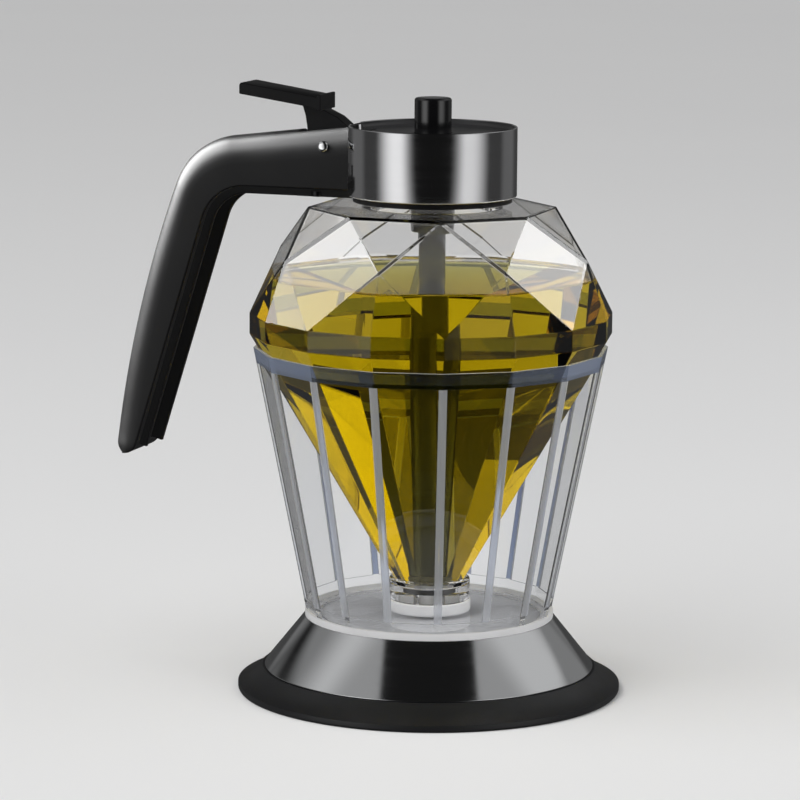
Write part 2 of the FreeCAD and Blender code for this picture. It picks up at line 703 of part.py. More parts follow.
def make_return_spring():
    """Compression spring between the sleeve's ledge and the rod's collar."""
    low = SHOULDER_Z + SPRING_WIRE_R + SPRING_END_GAP
    high = SPRING_SEAT_Z - SPRING_WIRE_R - SPRING_END_GAP
    helix = Part.makeHelix((high - low) / SPRING_COILS, high - low, SPRING_R)
    helix.translate(V(0, 0, low))
    corners = []
    for i in range(SPRING_WIRE_SIDES):
        turn = 2 * math.pi * i / SPRING_WIRE_SIDES
        corners.append(V(SPRING_R + SPRING_WIRE_R * math.cos(turn), 0, low + SPRING_WIRE_R * math.sin(turn)))
    profile = Part.makePolygon(corners + corners[:1])
    spring = Part.Wire(helix.Edges).makePipeShell([profile], True, True)
    return Part.Solid(spring) if spring.ShapeType != "Solid" else spring


# ---------------------------------------------------------------- rod, knob and plug
def make_rod():
    """Valve rod: stub for the plug, thick shaft, spring collar and thin stem."""
    stub_low = PLUG_TOP_Z - PLUG_STUB_H
    stem_top = KNOB_TOP_Z - KNOB_ROOF
    return revolve([
        (0, stub_low),
        (PLUG_STUB_R, stub_low),
        (PLUG_STUB_R, PLUG_TOP_Z),
        (ROD_R, PLUG_TOP_Z),
        (ROD_R, SHOULDER_Z - COLLAR_ROD_H),
        (COLLAR_ROD_R, SHOULDER_Z - COLLAR_ROD_H),
        (COLLAR_ROD_R, SHOULDER_Z),
        (STEM_R, SHOULDER_Z),
        (STEM_R, stem_top),
        (0, stem_top),
    ])


def make_knob():
    """Round knob on the stem; its underside is what the fork lifts."""
    stem_top = KNOB_TOP_Z - KNOB_ROOF
    return revolve([
        (STEM_R, KNOB_LOW_Z),
        (KNOB_R, KNOB_LOW_Z),
        (KNOB_R, KNOB_TOP_Z - KNOB_ROUND),
        (KNOB_R - 0.3 * KNOB_ROUND, KNOB_TOP_Z - 0.3 * KNOB_ROUND),
        (KNOB_R - KNOB_ROUND, KNOB_TOP_Z),
        (0, KNOB_TOP_Z),
        (0, stem_top),
        (STEM_R, stem_top),
    ])


def make_valve_plug():
    """Soft plug on the rod's lower end."""
    stub_low = PLUG_TOP_Z - PLUG_STUB_H
    return revolve([
        (0, PLUG_LOW_Z),
        (PLUG_R - PLUG_CHAMFER, PLUG_LOW_Z),
        (PLUG_R, PLUG_LOW_Z + PLUG_CHAMFER),
        (PLUG_R, PLUG_TOP_Z),
        (PLUG_STUB_R, PLUG_TOP_Z),
        (PLUG_STUB_R, stub_low),
        (0, stub_low),
    ])


# ---------------------------------------------------------------- handle
def tangent_points(before, corner, after, radius):
    """Start, middle and end of the arc that rounds a corner between two lines, in (x, z)."""
    a = V(before[0] - corner[0], 0, before[1] - corner[1]).normalize()
    b = V(after[0] - corner[0], 0, after[1] - corner[1]).normalize()
    half = a.getAngle(b) / 2
    reach = radius / math.tan(half)
    bisector = (a + b).normalize()
    c = V(corner[0], 0, corner[1])
    centre = c + bisector * (radius / math.sin(half))
    return c + a * reach, centre - bisector * radius, c + b * reach


def back_edges(inset, start_x):
    """Outer side of the handle, pushed inwards by an inset: arm, bend and bowed leg."""
    arm_angle = math.degrees(math.atan(ARM_TOP_FALL))
    leg_angle = 90.0 - LEG_START_ANGLE
    corner_z = ARM_TOP_Z + ARM_TOP_FALL * (BACK_CORNER_X + COVER_R)
    turn = math.radians(leg_angle - arm_angle)
    slide = inset * math.tan(turn / 2)
    a = math.radians(arm_angle)
    corner = (
        BACK_CORNER_X + inset * math.sin(a) + slide * math.cos(a),
        corner_z - inset * math.cos(a) + slide * math.sin(a),
    )
    start = (start_x, corner[1] + ARM_TOP_FALL * (start_x - corner[0]))
    beyond = line_from(corner, leg_angle, LEG_H)
    p1, p2, p3 = tangent_points(start, corner, beyond, BACK_BEND_R - inset)
    bow_r = LEG_BOW_R - inset
    leg = math.radians(leg_angle)
    inward = V(math.sin(leg), 0, -math.cos(leg))
    centre = p3 + inward * bow_r
    ends = []
    sweep = math.asin((p3.z - LEG_TIP_Z + TIP_SPARE) / bow_r)
    for share in (0.5, 1.0):
        turned = -inward * bow_r
        angle = share * sweep
        x = turned.x * math.cos(angle) - turned.z * math.sin(angle)
        z = turned.x * math.sin(angle) + turned.z * math.cos(angle)
        ends.append(centre + V(x, 0, z))
    first = V(start[0], 0, start[1])
    edges = [
        Part.makeLine(first, p1),
        Part.Arc(p1, p2, p3).toShape(),
        Part.Arc(p3, ends[0], ends[1]).toShape(),
    ]
    return edges, first, ends[1]


def front_edges(stand_out, start_x):
    """Inner side of the handle, pushed out by a stand-out: leg, bend and arm."""
    leg_angle = 90.0 - LEG_INNER_ANGLE
    leg = math.radians(leg_angle)
    level = ARM_EDGE_Z - stand_out
    slide = stand_out * math.tan(leg / 2)
    corner = (INNER_CORNER_X + slide, level)
    beyond = line_from(corner, leg_angle, (level - LEG_TIP_Z + TIP_SPARE) / math.sin(leg))
    start = (start_x, level)
    p1, p2, p3 = tangent_points(start, corner, beyond, INNER_BEND_R + stand_out)
    first = V(beyond[0], 0, beyond[1])
    last = V(start[0], 0, start[1])
    edges = [
        Part.makeLine(first, p3),
        Part.Arc(p3, p2, p1).toShape(),
        Part.makeLine(p1, last),
    ]
    return edges, first, last


def handle_slab(inset, stand_out, width, start_x):
    """Solid between the two sides of the handle, below the arm's start and past the tip."""
    back, back_start, back_end = back_edges(inset, start_x)
    front, front_start, front_end = front_edges(stand_out, start_x)
    edges = back + [Part.makeLine(back_end, front_start)] + front
    edges.append(Part.makeLine(front_end, back_start))
    face = Part.Face(Part.Wire(edges))
    face.translate(V(0, -width / 2, 0))
    return face.extrude(V(0, width, 0))


def is_back_edge(edge, width):
    """True for an edge that runs along the handle's rounded back."""
    box = edge.BoundBox
    on_side = abs(abs(box.YMin) - width / 2) < 1e-3 and box.YLength < 1e-3
    middle = edge.valueAt((edge.FirstParameter + edge.LastParameter) / 2)
    along = box.XLength > 8
    behind = middle.z > ARM_EDGE_Z + 4 or middle.x < INNER_CORNER_X - 14
    return on_side and along and behind


def make_handle_shell():
    """Channel-shaped handle, closed at its tip, with the lever's slot and bosses."""
    slab = handle_slab(0, 0, HANDLE_W, -COVER_R + 3)
    ended = slab.common(block(-100, -10, -HANDLE_W, HANDLE_W, LEG_TIP_Z, 140))
    tips = [e for e in ended.Edges if e.BoundBox.YLength > HANDLE_W - 0.1]
    tips = [e for e in tips if e.BoundBox.ZMax < LEG_TIP_Z + 0.1]
    backs = [e for e in slab.Edges if is_back_edge(e, HANDLE_W)]
    solid = slab.makeFillet(HANDLE_BACK_ROUND, backs).common(ended.makeFillet(TIP_ROUND, tips))
    inner_w = HANDLE_W - 2 * HANDLE_WALL
    hollow = handle_slab(HANDLE_WEB, 6, inner_w, -COVER_R + 5)
    shell = solid.cut(hollow.common(block(-100, -10, -HANDLE_W, HANDLE_W, LEG_TIP_Z + TIP_WALL, 140)))
    for side in (-1, 1):
        y = side * TONGUE_SCREW_Y
        boss = cylinder(HANDLE_BOSS_R, TONGUE_TOP_Z, HANDLE_BOSS_TOP_Z, TONGUE_SCREW_X, y)
        shell = shell.fuse(boss)
        hub_in = STEM_W / 2 + LEVER_SIDE_GAP
        hub_y = hub_in if side > 0 else -(inner_w / 2 + 0.5)
        hub = Part.makeCylinder(PIVOT_BOSS_R, inner_w / 2 + 0.5 - hub_in, V(PIVOT_X, hub_y, PIVOT_Z), ACROSS)
        shell = shell.fuse(hub)
        hole = cylinder(HANDLE_SCREW_R, TONGUE_LOW_Z, HANDLE_SCREW_TOP_Z, TONGUE_SCREW_X, y)
        shell = shell.cut(hole)
    half = SLOT_W / 2
    shell = shell.cut(block(TOP_SLOT_END_X, -10, -half, half, ARM_TOP_Z - 2 * HANDLE_WEB, ARM_TOP_Z + 2))
    shell = shell.cut(Part.makeCylinder(PIN_R, HANDLE_W + 2, V(PIVOT_X, -HANDLE_W / 2 - 1, PIVOT_Z), ACROSS))
    sink = PIN_HEAD_R + 0.05
    for y in (-HANDLE_W / 2 - 1, HANDLE_W / 2 - PIN_HEAD_SINK):
        shell = shell.cut(Part.makeCylinder(sink, 1 + PIN_HEAD_SINK, V(PIVOT_X, y, PIVOT_Z), ACROSS))
    return shell.cut(cylinder(COVER_R + ROOT_GAP, COVER_BOTTOM_Z - 5, ARM_TOP_Z + 5))


def make_handle_liner():
    """Inner channel strip that closes the handle and stands proud of its edges."""
    outer_w = HANDLE_W - 2 * HANDLE_WALL - 2 * LINER_FIT
    deep = LINER_DEPTH + LINER_WALL - LINER_STAND_OUT
    strip = handle_slab(0, LINER_STAND_OUT, outer_w, TONGUE_END_X)
    strip = strip.cut(handle_slab(-20, -deep, outer_w + 2, TONGUE_END_X + 5))
    channel = handle_slab(-20, LINER_STAND_OUT - LINER_DEPTH, HANDLE_W, TONGUE_END_X + 5)
    groove_w = outer_w - 2 * LINER_WALL
    groove = handle_slab(0, LINER_STAND_OUT + 4, groove_w, TONGUE_END_X + 5).cut(channel)
    strip = strip.cut(groove)
    keep = block(-100, TONGUE_END_X, -HANDLE_W, HANDLE_W, LINER_END_Z, 140)
    return strip.common(keep)


def make_handle_screws():
    """Two screws up through the tongue into the handle's bosses."""
    screws = []
    for y in (-TONGUE_SCREW_Y, TONGUE_SCREW_Y):
        sink = TONGUE_LOW_Z + HANDLE_SCREW_HEAD_H
        shank = cylinder(HANDLE_SCREW_R, sink, HANDLE_SCREW_TOP_Z, TONGUE_SCREW_X, y)
        head = cylinder(HANDLE_SCREW_HEAD_R, TONGUE_LOW_Z, sink, TONGUE_SCREW_X, y)
        screws.append(fuse(shank, head))
    return Part.Compound(screws)


def make_pivot_pin():
    """Metal pin with a domed head at each end."""
    reach = HANDLE_W / 2 - PIN_HEAD_SINK
    pin = Part.makeCylinder(PIN_R, 2 * reach, V(PIVOT_X, -reach, PIVOT_Z), ACROSS)
    head_h = PIN_HEAD_SINK + PIN_STAND_OUT
    for y in (-reach - head_h, reach):
        head = Part.makeCylinder(PIN_HEAD_R, head_h, V(PIVOT_X, y, PIVOT_Z), ACROSS)
        outer_y = y if y < 0 else y + head_h
        rim = [e for e in head.Edges if abs(e.BoundBox.YMin - outer_y) < 1e-3 and e.BoundBox.YLength < 1e-3]
        pin = pin.fuse(head.makeFillet(PIN_HEAD_ROUND, rim))
    return pin.removeSplitter()


# ---------------------------------------------------------------- lever
def pad_top(x):
    """Height of the thumb pad's top at a distance along the handle."""
    return PAD_TIP_Z - PAD_FALL * (x - PAD_TIP_X)


def make_thumb_lever():
    """Thumb pad, stem through the handle's slot, hub on the pin and fork under the knob."""
    stop_back = STOP_X - STOP_T
    pad = side_prism([
        (PAD_TIP_X - 0.35, PAD_TIP_Z - PAD_T),
        (PAD_TIP_X - 0.35, PAD_TIP_Z - 0.5),
        (PAD_TIP_X, PAD_TIP_Z),
        (stop_back, pad_top(stop_back)),
        (stop_back + 0.1, STOP_TOP_Z),
        (STOP_X, STOP_TOP_Z),
        (STOP_X, STOP_LOW_Z),
        (STOP_X - 4.0, pad_top(STOP_X - 4.0) - PAD_T),
    ], PAD_W)
    bridge_x = -STEM_R - FORK_BRIDGE - FORK_BACK
    arm_low = FORK_TOP_Z - 2 * FORK_TIP_R
    stem = side_prism([
        (STOP_X - 5.7, pad_top(STOP_X - 5.7) - PAD_T + 0.4),
        (STOP_X - 5.2, pad_top(STOP_X - 5.2) - PAD_T - 0.6),
        (STOP_X - 4.6, STOP_LOW_Z - 1.4),
        (PIVOT_X - 5.6, ARM_TOP_Z),
        (PIVOT_X - 4.2, PIVOT_Z - 0.4),
        (PIVOT_X - 1.6, PIVOT_Z - LEVER_BOSS_R + 0.6),
        (PIVOT_X, PIVOT_Z - LEVER_BOSS_R),
        (bridge_x, arm_low),
        (bridge_x + FORK_BRIDGE, arm_low),
        (bridge_x + FORK_BRIDGE, FORK_TOP_Z),
        (bridge_x, FORK_TOP_Z),
        (bridge_x - 4.5, FORK_TOP_Z + 1.2),
        (-LID_BORE_R, CHAMBER_TOP_Z - 0.5),
        (-COVER_R - 1.0, PLATE_TOP_Z + 1.3),
        (-COVER_R - 3.0, PLATE_TOP_Z + 2.9),
        (STOP_X, STOP_LOW_Z),
        (STOP_X, STOP_LOW_Z + 1.5),
    ], STEM_W)
    hub = Part.makeCylinder(LEVER_BOSS_R, STEM_W, V(PIVOT_X, -STEM_W / 2, PIVOT_Z), ACROSS)
    fork_in = STEM_R + FORK_SLOT_GAP
    fork_w = 2 * (fork_in + FORK_PRONG_W)
    bridge = block(bridge_x, bridge_x + FORK_BRIDGE, -fork_w / 2, fork_w / 2, arm_low, FORK_TOP_Z)
    lever = fuse(pad, stem, hub, bridge)
    for y in (-fork_in - FORK_PRONG_W, fork_in):
        prong = block(bridge_x, 0, y, y + FORK_PRONG_W, arm_low, FORK_TOP_Z)
        nose = Part.makeCylinder(FORK_TIP_R, FORK_PRONG_W, V(0, y, FORK_TOP_Z - FORK_TIP_R), ACROSS)
        fall = side_prism([
            (bridge_x + FORK_BRIDGE, FORK_TOP_Z),
            (0, FORK_TOP_Z),
            (bridge_x + FORK_BRIDGE, FORK_TOP_Z - 0.9),
        ], 4 * fork_w)
        lever = lever.fuse(prong.cut(fall)).fuse(nose)
    bore = Part.makeCylinder(PIN_R + RUN, STEM_W + 2, V(PIVOT_X, -STEM_W / 2 - 1, PIVOT_Z), ACROSS)
    return lever.cut(bore).removeSplitter()


PIECES = {
    "foot_ring": make_foot_ring,
    "base_core": make_base_core,
    "base_skirt": make_base_skirt,
    "seat_plate": make_seat_plate,
    "base_screws": make_base_screws,
    "holder_cup": make_holder_cup,
    "jar": make_jar,
    "outlet_seat": make_outlet_seat,
    "nozzle_ring": make_nozzle_ring,
    "honey": make_honey,
    "lid_gasket": make_lid_gasket,
    "lid_body": make_lid_body,
    "lid_cover": make_lid_cover,
    "top_plate": make_top_plate,
    "guide_sleeve": make_guide_sleeve,
    "guide_bush": make_guide_bush,
    "return_spring": make_return_spring,
    "handle_shell": make_handle_shell,
    "handle_liner": make_handle_liner,
    "handle_screws": make_handle_screws,
    "pivot_pin": make_pivot_pin,
    "valve_rod": make_rod,
    "knob": make_knob,
    "valve_plug": make_valve_plug,
    "thumb_lever": make_thumb_lever,
}


def main():
    """Build every piece and write it out."""
    os.makedirs("parts", exist_ok=True)
    for name, make in PIECES.items():
        shape = make()
        solids = shape.Solids
        state = "ok" if shape.isValid() else "INVALID"
        print(f"{name}: {len(solids)} solid(s), {shape.Volume:.1f} mm3, {state}")
        shape.exportStep(f"parts/{name}.step")


main()
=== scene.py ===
"""Looks for a honey dispenser: faceted jar, clear fluted holder, metal lid, side handle and lever.

Sizes inside the classes are millimetres, in the frame of the solid model: +Z up, the jar's axis
on Z and the handle towards -X.  Meshes are written in metres.  An outline that is turned round
the axis is a list of (radius, height).
"""

from __future__ import annotations

import json
import logging
import math
from dataclasses import dataclass, field
from enum import Enum
from functools import partial, reduce

import bmesh
import bpy
import numpy as np
from mathutils import Euler, Matrix, Vector

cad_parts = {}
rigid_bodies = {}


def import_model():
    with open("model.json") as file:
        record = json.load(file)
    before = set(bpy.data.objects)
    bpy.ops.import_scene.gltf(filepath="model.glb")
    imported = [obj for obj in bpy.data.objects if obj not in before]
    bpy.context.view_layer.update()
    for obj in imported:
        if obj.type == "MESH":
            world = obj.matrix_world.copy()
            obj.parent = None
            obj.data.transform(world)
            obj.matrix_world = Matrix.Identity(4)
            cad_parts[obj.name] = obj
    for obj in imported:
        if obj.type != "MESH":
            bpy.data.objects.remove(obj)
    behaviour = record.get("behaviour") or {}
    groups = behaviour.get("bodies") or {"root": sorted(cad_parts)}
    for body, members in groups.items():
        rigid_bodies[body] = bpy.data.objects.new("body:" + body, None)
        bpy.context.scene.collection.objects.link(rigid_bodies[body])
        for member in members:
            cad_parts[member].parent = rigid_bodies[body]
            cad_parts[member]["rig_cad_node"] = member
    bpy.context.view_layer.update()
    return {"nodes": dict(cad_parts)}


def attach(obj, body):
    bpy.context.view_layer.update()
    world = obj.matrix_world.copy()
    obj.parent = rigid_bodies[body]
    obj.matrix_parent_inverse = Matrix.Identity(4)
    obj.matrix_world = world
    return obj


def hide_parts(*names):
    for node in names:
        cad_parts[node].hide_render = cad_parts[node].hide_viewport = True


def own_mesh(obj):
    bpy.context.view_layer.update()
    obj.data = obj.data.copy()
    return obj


LOG = logging.getLogger("honey_dispenser")
MM = 0.001
TURN = 2.0 * math.pi
HAIR = 0.02  # smallest step, in millimetres, between two levels that must stay apart
Array = np.ndarray
Piece = bpy.types.Object
Tree = bpy.types.NodeTree
Node = bpy.types.Node
Socket = bpy.types.NodeSocket


class Shading(Enum):
    """How a mesh is shaded: flat facets, or smooth with edges sharper than an angle kept."""

    FLAT = 0.0
    SMOOTH = 180.0
    CREASED = 32.0


# ------------------------------------------------------------------ meshes
def placed(name: str, data: bpy.types.ID) -> Piece:
    """Makes an object at the origin and links it to the scene.

    Args:
        name: the object's name.
        data: its mesh, light or camera.

    Returns:
        The new object.
    """
    piece = bpy.data.objects.new(name, data)
    bpy.context.scene.collection.objects.link(piece)
    return piece


def put_mesh(name: str, points: Array, faces: list, shading: Shading) -> Piece:
    """Makes an object from points in millimetres, with its faces turned outwards.

    Args:
        name: the object's name.
        points: array of shape (n, 3).
        faces: corner numbers of each face.
        shading: how the faces are shaded.

    Returns:
        The new object.
    """
    mesh = bpy.data.meshes.new(name)
    mesh.from_pydata((points * MM).tolist(), [], faces)
    mesh.validate()
    bm = bmesh.new()
    bm.from_mesh(mesh)
    bmesh.ops.remove_doubles(bm, verts=bm.verts, dist=1e-7)
    bmesh.ops.recalc_face_normals(bm, faces=bm.faces)
    if bm.calc_volume(signed=True) < 0:
        bmesh.ops.reverse_faces(bm, faces=bm.faces)
    bm.to_mesh(mesh)
    bm.free()
    shade(mesh, shading)
    return placed(name, mesh)


def shade(mesh: bpy.types.Mesh, shading: Shading) -> None:
    """Shades a mesh flat, or smooth with its sharper edges kept.

    Args:
        mesh: what is shaded.
        shading: how.
    """
    smooth = np.full(len(mesh.polygons), shading is not Shading.FLAT)
    mesh.polygons.foreach_set("use_smooth", smooth)
    if shading is Shading.CREASED:
        mesh.set_sharp_from_angle(angle=math.radians(shading.value))
    mesh.update()


def read_out(bm: bmesh.types.BMesh) -> tuple:
    """Reads a mesh under construction and frees it.

    Args:
        bm: the mesh.

    Returns:
        Its points, of shape (n, 3), and the corner numbers of its faces.
    """
    bm.verts.index_update()
    points = np.array([v.co[:] for v in bm.verts])
    faces = [[v.index for v in face.verts] for face in bm.faces]
    bm.free()
    return points, faces


def full_turn(count: int) -> Array:
    """Evenly spaced angles round the axis, the first at 0."""
    return np.linspace(0.0, TURN, count, endpoint=False)


def around(r: Array | float, z: Array | float, angle: Array) -> Array:
    """Points (r cos a, r sin a, z) round the Z axis, in one array whose last index is x, y, z."""
    return np.stack(np.broadcast_arrays(r * np.cos(angle), r * np.sin(angle), z), axis=-1)


def grid_faces(rows: int, columns: int, closed_rows: bool = False) -> list:
    """Quads of a grid whose columns close on themselves.

    Args:
        rows: number of rows of points.
        columns: number of points round each row.
        closed_rows: joins the last row to the first as well.

    Returns:
        The quads, as lists of four point numbers.
    """
    first = np.arange(rows if closed_rows else rows - 1)
    row, column = np.meshgrid(first, np.arange(columns), indexing="ij")
    below = ((row + 1) % rows) * columns
    beside = (column + 1) % columns
    quads = np.stack(
        [row * columns + column, row * columns + beside, below + beside, below + column], axis=-1
    )
    return quads.reshape(-1, 4).tolist()


def skin(name: str, grid: Array, shading: Shading = Shading.CREASED, capped: bool = True) -> Piece:
    """Makes a closed piece from a grid of points that goes round in its second index.

    Args:
        name: the object's name.
        grid: array of shape (rows, columns, 3).
        shading: how it is shaded.
        capped: closes the first and last rows with one face each; otherwise they join.

    Returns:
        The new object.
    """
    rows, columns = grid.shape[:2]
    faces = grid_faces(rows, columns, closed_rows=not capped)
    if capped:
        faces.append(list(range(columns)))
        faces.append([(rows - 1) * columns + i for i in range(columns)])
    return put_mesh(name, grid.reshape(-1, 3), faces, shading)


def turned(name: str, outline: Array, steps: int = 160, closed: bool = True) -> Piece:
    """Turns an outline once round the Z axis.

    A point is (r cos a, r sin a, z) for each outline point (r, z) and each angle a.

    Args:
        name: the object's name.
        outline: array of shape (n, 2).
        steps: how many angles go into the turn.
        closed: the outline closes on itself; otherwise both its ends lie on the axis.

    Returns:
        The new object.
    """
    grid = around(outline[:, :1], outline[:, 1:], full_turn(steps))
    return skin(name, grid, capped=not closed)


def arc(corner: Array, before: Array, after: Array, radius: float, steps: int) -> Array:
    """Arc that rounds a corner and touches both its sides.

    With h half the angle between the sides, the centre lies r / sin h from the corner and the
    ends r / tan h from it. The points turn evenly from the one end to the other.

    Args:
        corner: the corner.
        before: unit direction towards the start.
        after: unit direction towards the end.
        radius: the arc's radius r.
        steps: points along it.

    Returns:
        Array of shape (steps, 2), from start to end.
    """
    half = math.acos(float(np.clip(before @ after, -1, 1))) / 2
    middle = (before + after) / np.linalg.norm(before + after)
    centre = corner + middle * (radius / math.sin(half))
    start = corner + before * (radius / math.tan(half)) - centre
    end = corner + after * (radius / math.tan(half)) - centre
    sweep = math.pi - 2 * half
    share = np.linspace(0, 1, steps)[:, None]
    turning = np.sin((1 - share) * sweep) * start + np.sin(share * sweep) * end
    return centre + turning / math.sin(sweep)


def rounded(corners: list, radii: list, steps: int = 5) -> Array:
    """Closed outline through corners, each cut by an arc that touches both its sides.

    Args:
        corners: points of the outline.
        radii: rounding of each corner; 0 keeps it sharp.
        steps: points along each arc, less one.

    Returns:
        Array of shape (n, 2).
    """
    points = np.asarray(corners, float)
    out = []
    for i, radius in enumerate(radii):
        here, before, after = points[i], points[i - 1], points[(i + 1) % len(points)]
        if radius <= 0:
            out.append(here[None])
            continue
        a = (before - here) / np.linalg.norm(before - here)
        b = (after - here) / np.linalg.norm(after - here)
        out.append(arc(here, a, b, radius, steps + 1))
    return np.concatenate(out)


def soften(piece: Piece, width: float, segments: int = 2, angle: float = 25.0) -> Piece:
    """Rounds a piece's sharp edges with a live bevel.

    Args:
        piece: the object.
        width: width of the rounding in millimetres.
        segments: steps across it.
        angle: edges that turn by more than this, in degrees, are rounded.

    Returns:
        The same object.
    """
    bevel = piece.modifiers.new("edge rounding", "BEVEL")
    bevel.width = width * MM
    bevel.segments = segments
    bevel.limit_method = "ANGLE"
    bevel.angle_limit = math.radians(angle)
    bevel.harden_normals = True
    bevel.miter_outer = "MITER_ARC"
    return piece


def block(x: tuple, z: tuple, half: float) -> Piece:
    """Block across the handle's plane, for cutting a slot.

    Args:
        x: where it starts and ends along X.
        z: where it starts and ends in height.
        half: half its width.

    Returns:
        The new object.
    """
    side = np.array([(x[0], 0, z[0]), (x[1], 0, z[0]), (x[1], 0, z[1]), (x[0], 0, z[1])], float)
    return skin("slot", np.stack([side + [0, -half, 0], side + [0, half, 0]]))


def cut_away(piece: Piece, *tools: Piece) -> Piece:
    """Takes closed pieces out of another one, removes them and shades what is left.

    Args:
        piece: what is cut.
        *tools: pieces to take out of it.

    Returns:
        The same object, with a new mesh.
    """
    for tool in tools:
        cut = piece.modifiers.new("cut", "BOOLEAN")
        cut.operation = "DIFFERENCE"
        cut.solver = "EXACT"
        cut.object = tool
    graph = bpy.context.evaluated_depsgraph_get()
    mesh = bpy.data.meshes.new_from_object(piece.evaluated_get(graph))
    piece.modifiers.clear()
    piece.data = mesh
    for tool in tools:
        bpy.data.objects.remove(tool)
    shade(mesh, Shading.CREASED)
    return piece


# ------------------------------------------------------------------ finishes
def principled(name: str, **values) -> tuple:
    """New material with one Principled shader.

    Args:
        name: the material's name.
        **values: shader sockets by name, with underscores for spaces.

    Returns:
        The material, its node tree and the shader node.
    """
    material = bpy.data.materials.new(name)
    material.use_nodes = True
    tree = material.node_tree
    shader = tree.nodes["Principled BSDF"]
    for key, value in values.items():
        shader.inputs[key.replace("_", " ")].default_value = value
    return material, tree, shader


def add(tree: Tree, kind: str, **settings) -> Node:
    """Adds a node and sets its properties, or its sockets where a property has no such name.

    Args:
        tree: where the node goes.
        kind: the node's type.
        **settings: properties and sockets by name, with underscores for spaces.

    Returns:
        The node.
    """
    node = tree.nodes.new(kind)
    for key, value in settings.items():
        if hasattr(node, key):
            setattr(node, key, value)
        else:
            node.inputs[key.replace("_", " ")].default_value = value
    return node


def object_noise(tree: Tree, scale: float, stretch: tuple = (1, 1, 1),
                 detail: float = 3.0) -> Socket:
    """Noise on object coordinates.

    Args:
        tree: the material's nodes.
        scale: patches per metre.
        stretch: scale along each axis.
        detail: octaves of finer noise.

    Returns:
        The socket with values from 0 to 1.
    """
    place = add(tree, "ShaderNodeTexCoord")
    mapping = add(tree, "ShaderNodeMapping", Scale=stretch)
    noise = add(tree, "ShaderNodeTexNoise", Scale=scale, Detail=detail)
    tree.links.new(place.outputs["Object"], mapping.inputs["Vector"])
    tree.links.new(mapping.outputs["Vector"], noise.inputs["Vector"])
    return noise.outputs["Fac"]


def ranged(tree: Tree, source: Socket, low: float, high: float, start: float = 0.3,
           end: float = 0.7, **settings) -> Socket:
    """Maps one range of a value to another.

    Args:
        tree: the nodes.
        source: the value; noise goes from about 0.3 to 0.7.
        low: what start becomes.
        high: what end becomes.
        start: first value of the source.
        end: last value of the source.
        **settings: further properties of the node.

    Returns:
        The socket with the new value.
    """
    node = add(tree, "ShaderNodeMapRange", From_Min=start, From_Max=end, To_Min=low, To_Max=high,
               **settings)
    tree.links.new(source, node.inputs["Value"])
    return node.outputs["Result"]


def mottled(tree: Tree, shader: Node, scale: float, dark: tuple, pale: tuple) -> None:
    """Lets a shader's colour wander between two colours.

    Args:
        tree: the material's nodes.
        shader: the Principled node.
        scale: patches per metre.
        dark: the one colour.
        pale: the other colour.
    """
    mix = add(tree, "ShaderNodeMix", data_type="RGBA", A=(*dark, 1.0), B=(*pale, 1.0))
    tree.links.new(object_noise(tree, scale), mix.inputs["Factor"])
    tree.links.new(mix.outputs["Result"], shader.inputs["Base Color"])


def bumped(tree: Tree, shader: Node, source: Socket, height: float, strength: float) -> None:
    """Gives a shader relief.

    Args:
        tree: the material's nodes.
        shader: the Principled node.
        source: heights from 0 to 1.
        height: depth of the relief in millimetres.
        strength: how much of it shows.
    """
    bump = add(tree, "ShaderNodeBump", Strength=strength, Distance=height * MM)
    tree.links.new(source, bump.inputs["Height"])
    tree.links.new(bump.outputs["Normal"], shader.inputs["Normal"])


@dataclass(frozen=True)
class MouldedPlastic:
    """Opaque moulded plastic or rubber with a fine grain."""

    name: str
    colour: tuple
    roughness: float = 0.4
    grain: float = 0.02
    grain_scale: float = 1800.0
    spread: float = 0.05
    specular: float = 0.5

    def build(self) -> bpy.types.Material:
        """Makes the material: its colour wanders by 15%, its roughness by the spread.

        Returns:
            The material.
        """
        material, tree, shader = principled(
            self.name, Base_Color=(*self.colour, 1.0), Roughness=self.roughness,
            Specular_IOR_Level=self.specular,
        )
        rough = ranged(tree, object_noise(tree, 90.0), self.roughness - self.spread,
                       self.roughness + self.spread)
        tree.links.new(rough, shader.inputs["Roughness"])
        dark, pale = ([share * c for c in self.colour] for share in (0.85, 1.15))
        mottled(tree, shader, 60.0, dark, pale)
        bumped(tree, shader, object_noise(tree, self.grain_scale), self.grain, 0.5)
        return material


@dataclass(frozen=True)
class TurnedMetal:
    """Metal sheet with faint lines that run round the axis."""

    name: str
    colour: tuple
    roughness: float = 0.15
    lines: float = 0.05
    relief: float = 0.0006

    def build(self) -> bpy.types.Material:
        """Makes the material: noise drawn out flat gives roughness and relief.

        Returns:
            The material.
        """
        material, tree, shader = principled(
            self.name, Base_Color=(*self.colour, 1.0), Metallic=1.0, Roughness=self.roughness,
        )
        streaks = object_noise(tree, 900.0, stretch=(0.04, 0.04, 1.0), detail=4.0)
        rough = ranged(tree, streaks, self.roughness - self.lines, self.roughness + self.lines)
        tree.links.new(rough, shader.inputs["Roughness"])
        bumped(tree, shader, streaks, self.relief, 0.35)
        return material


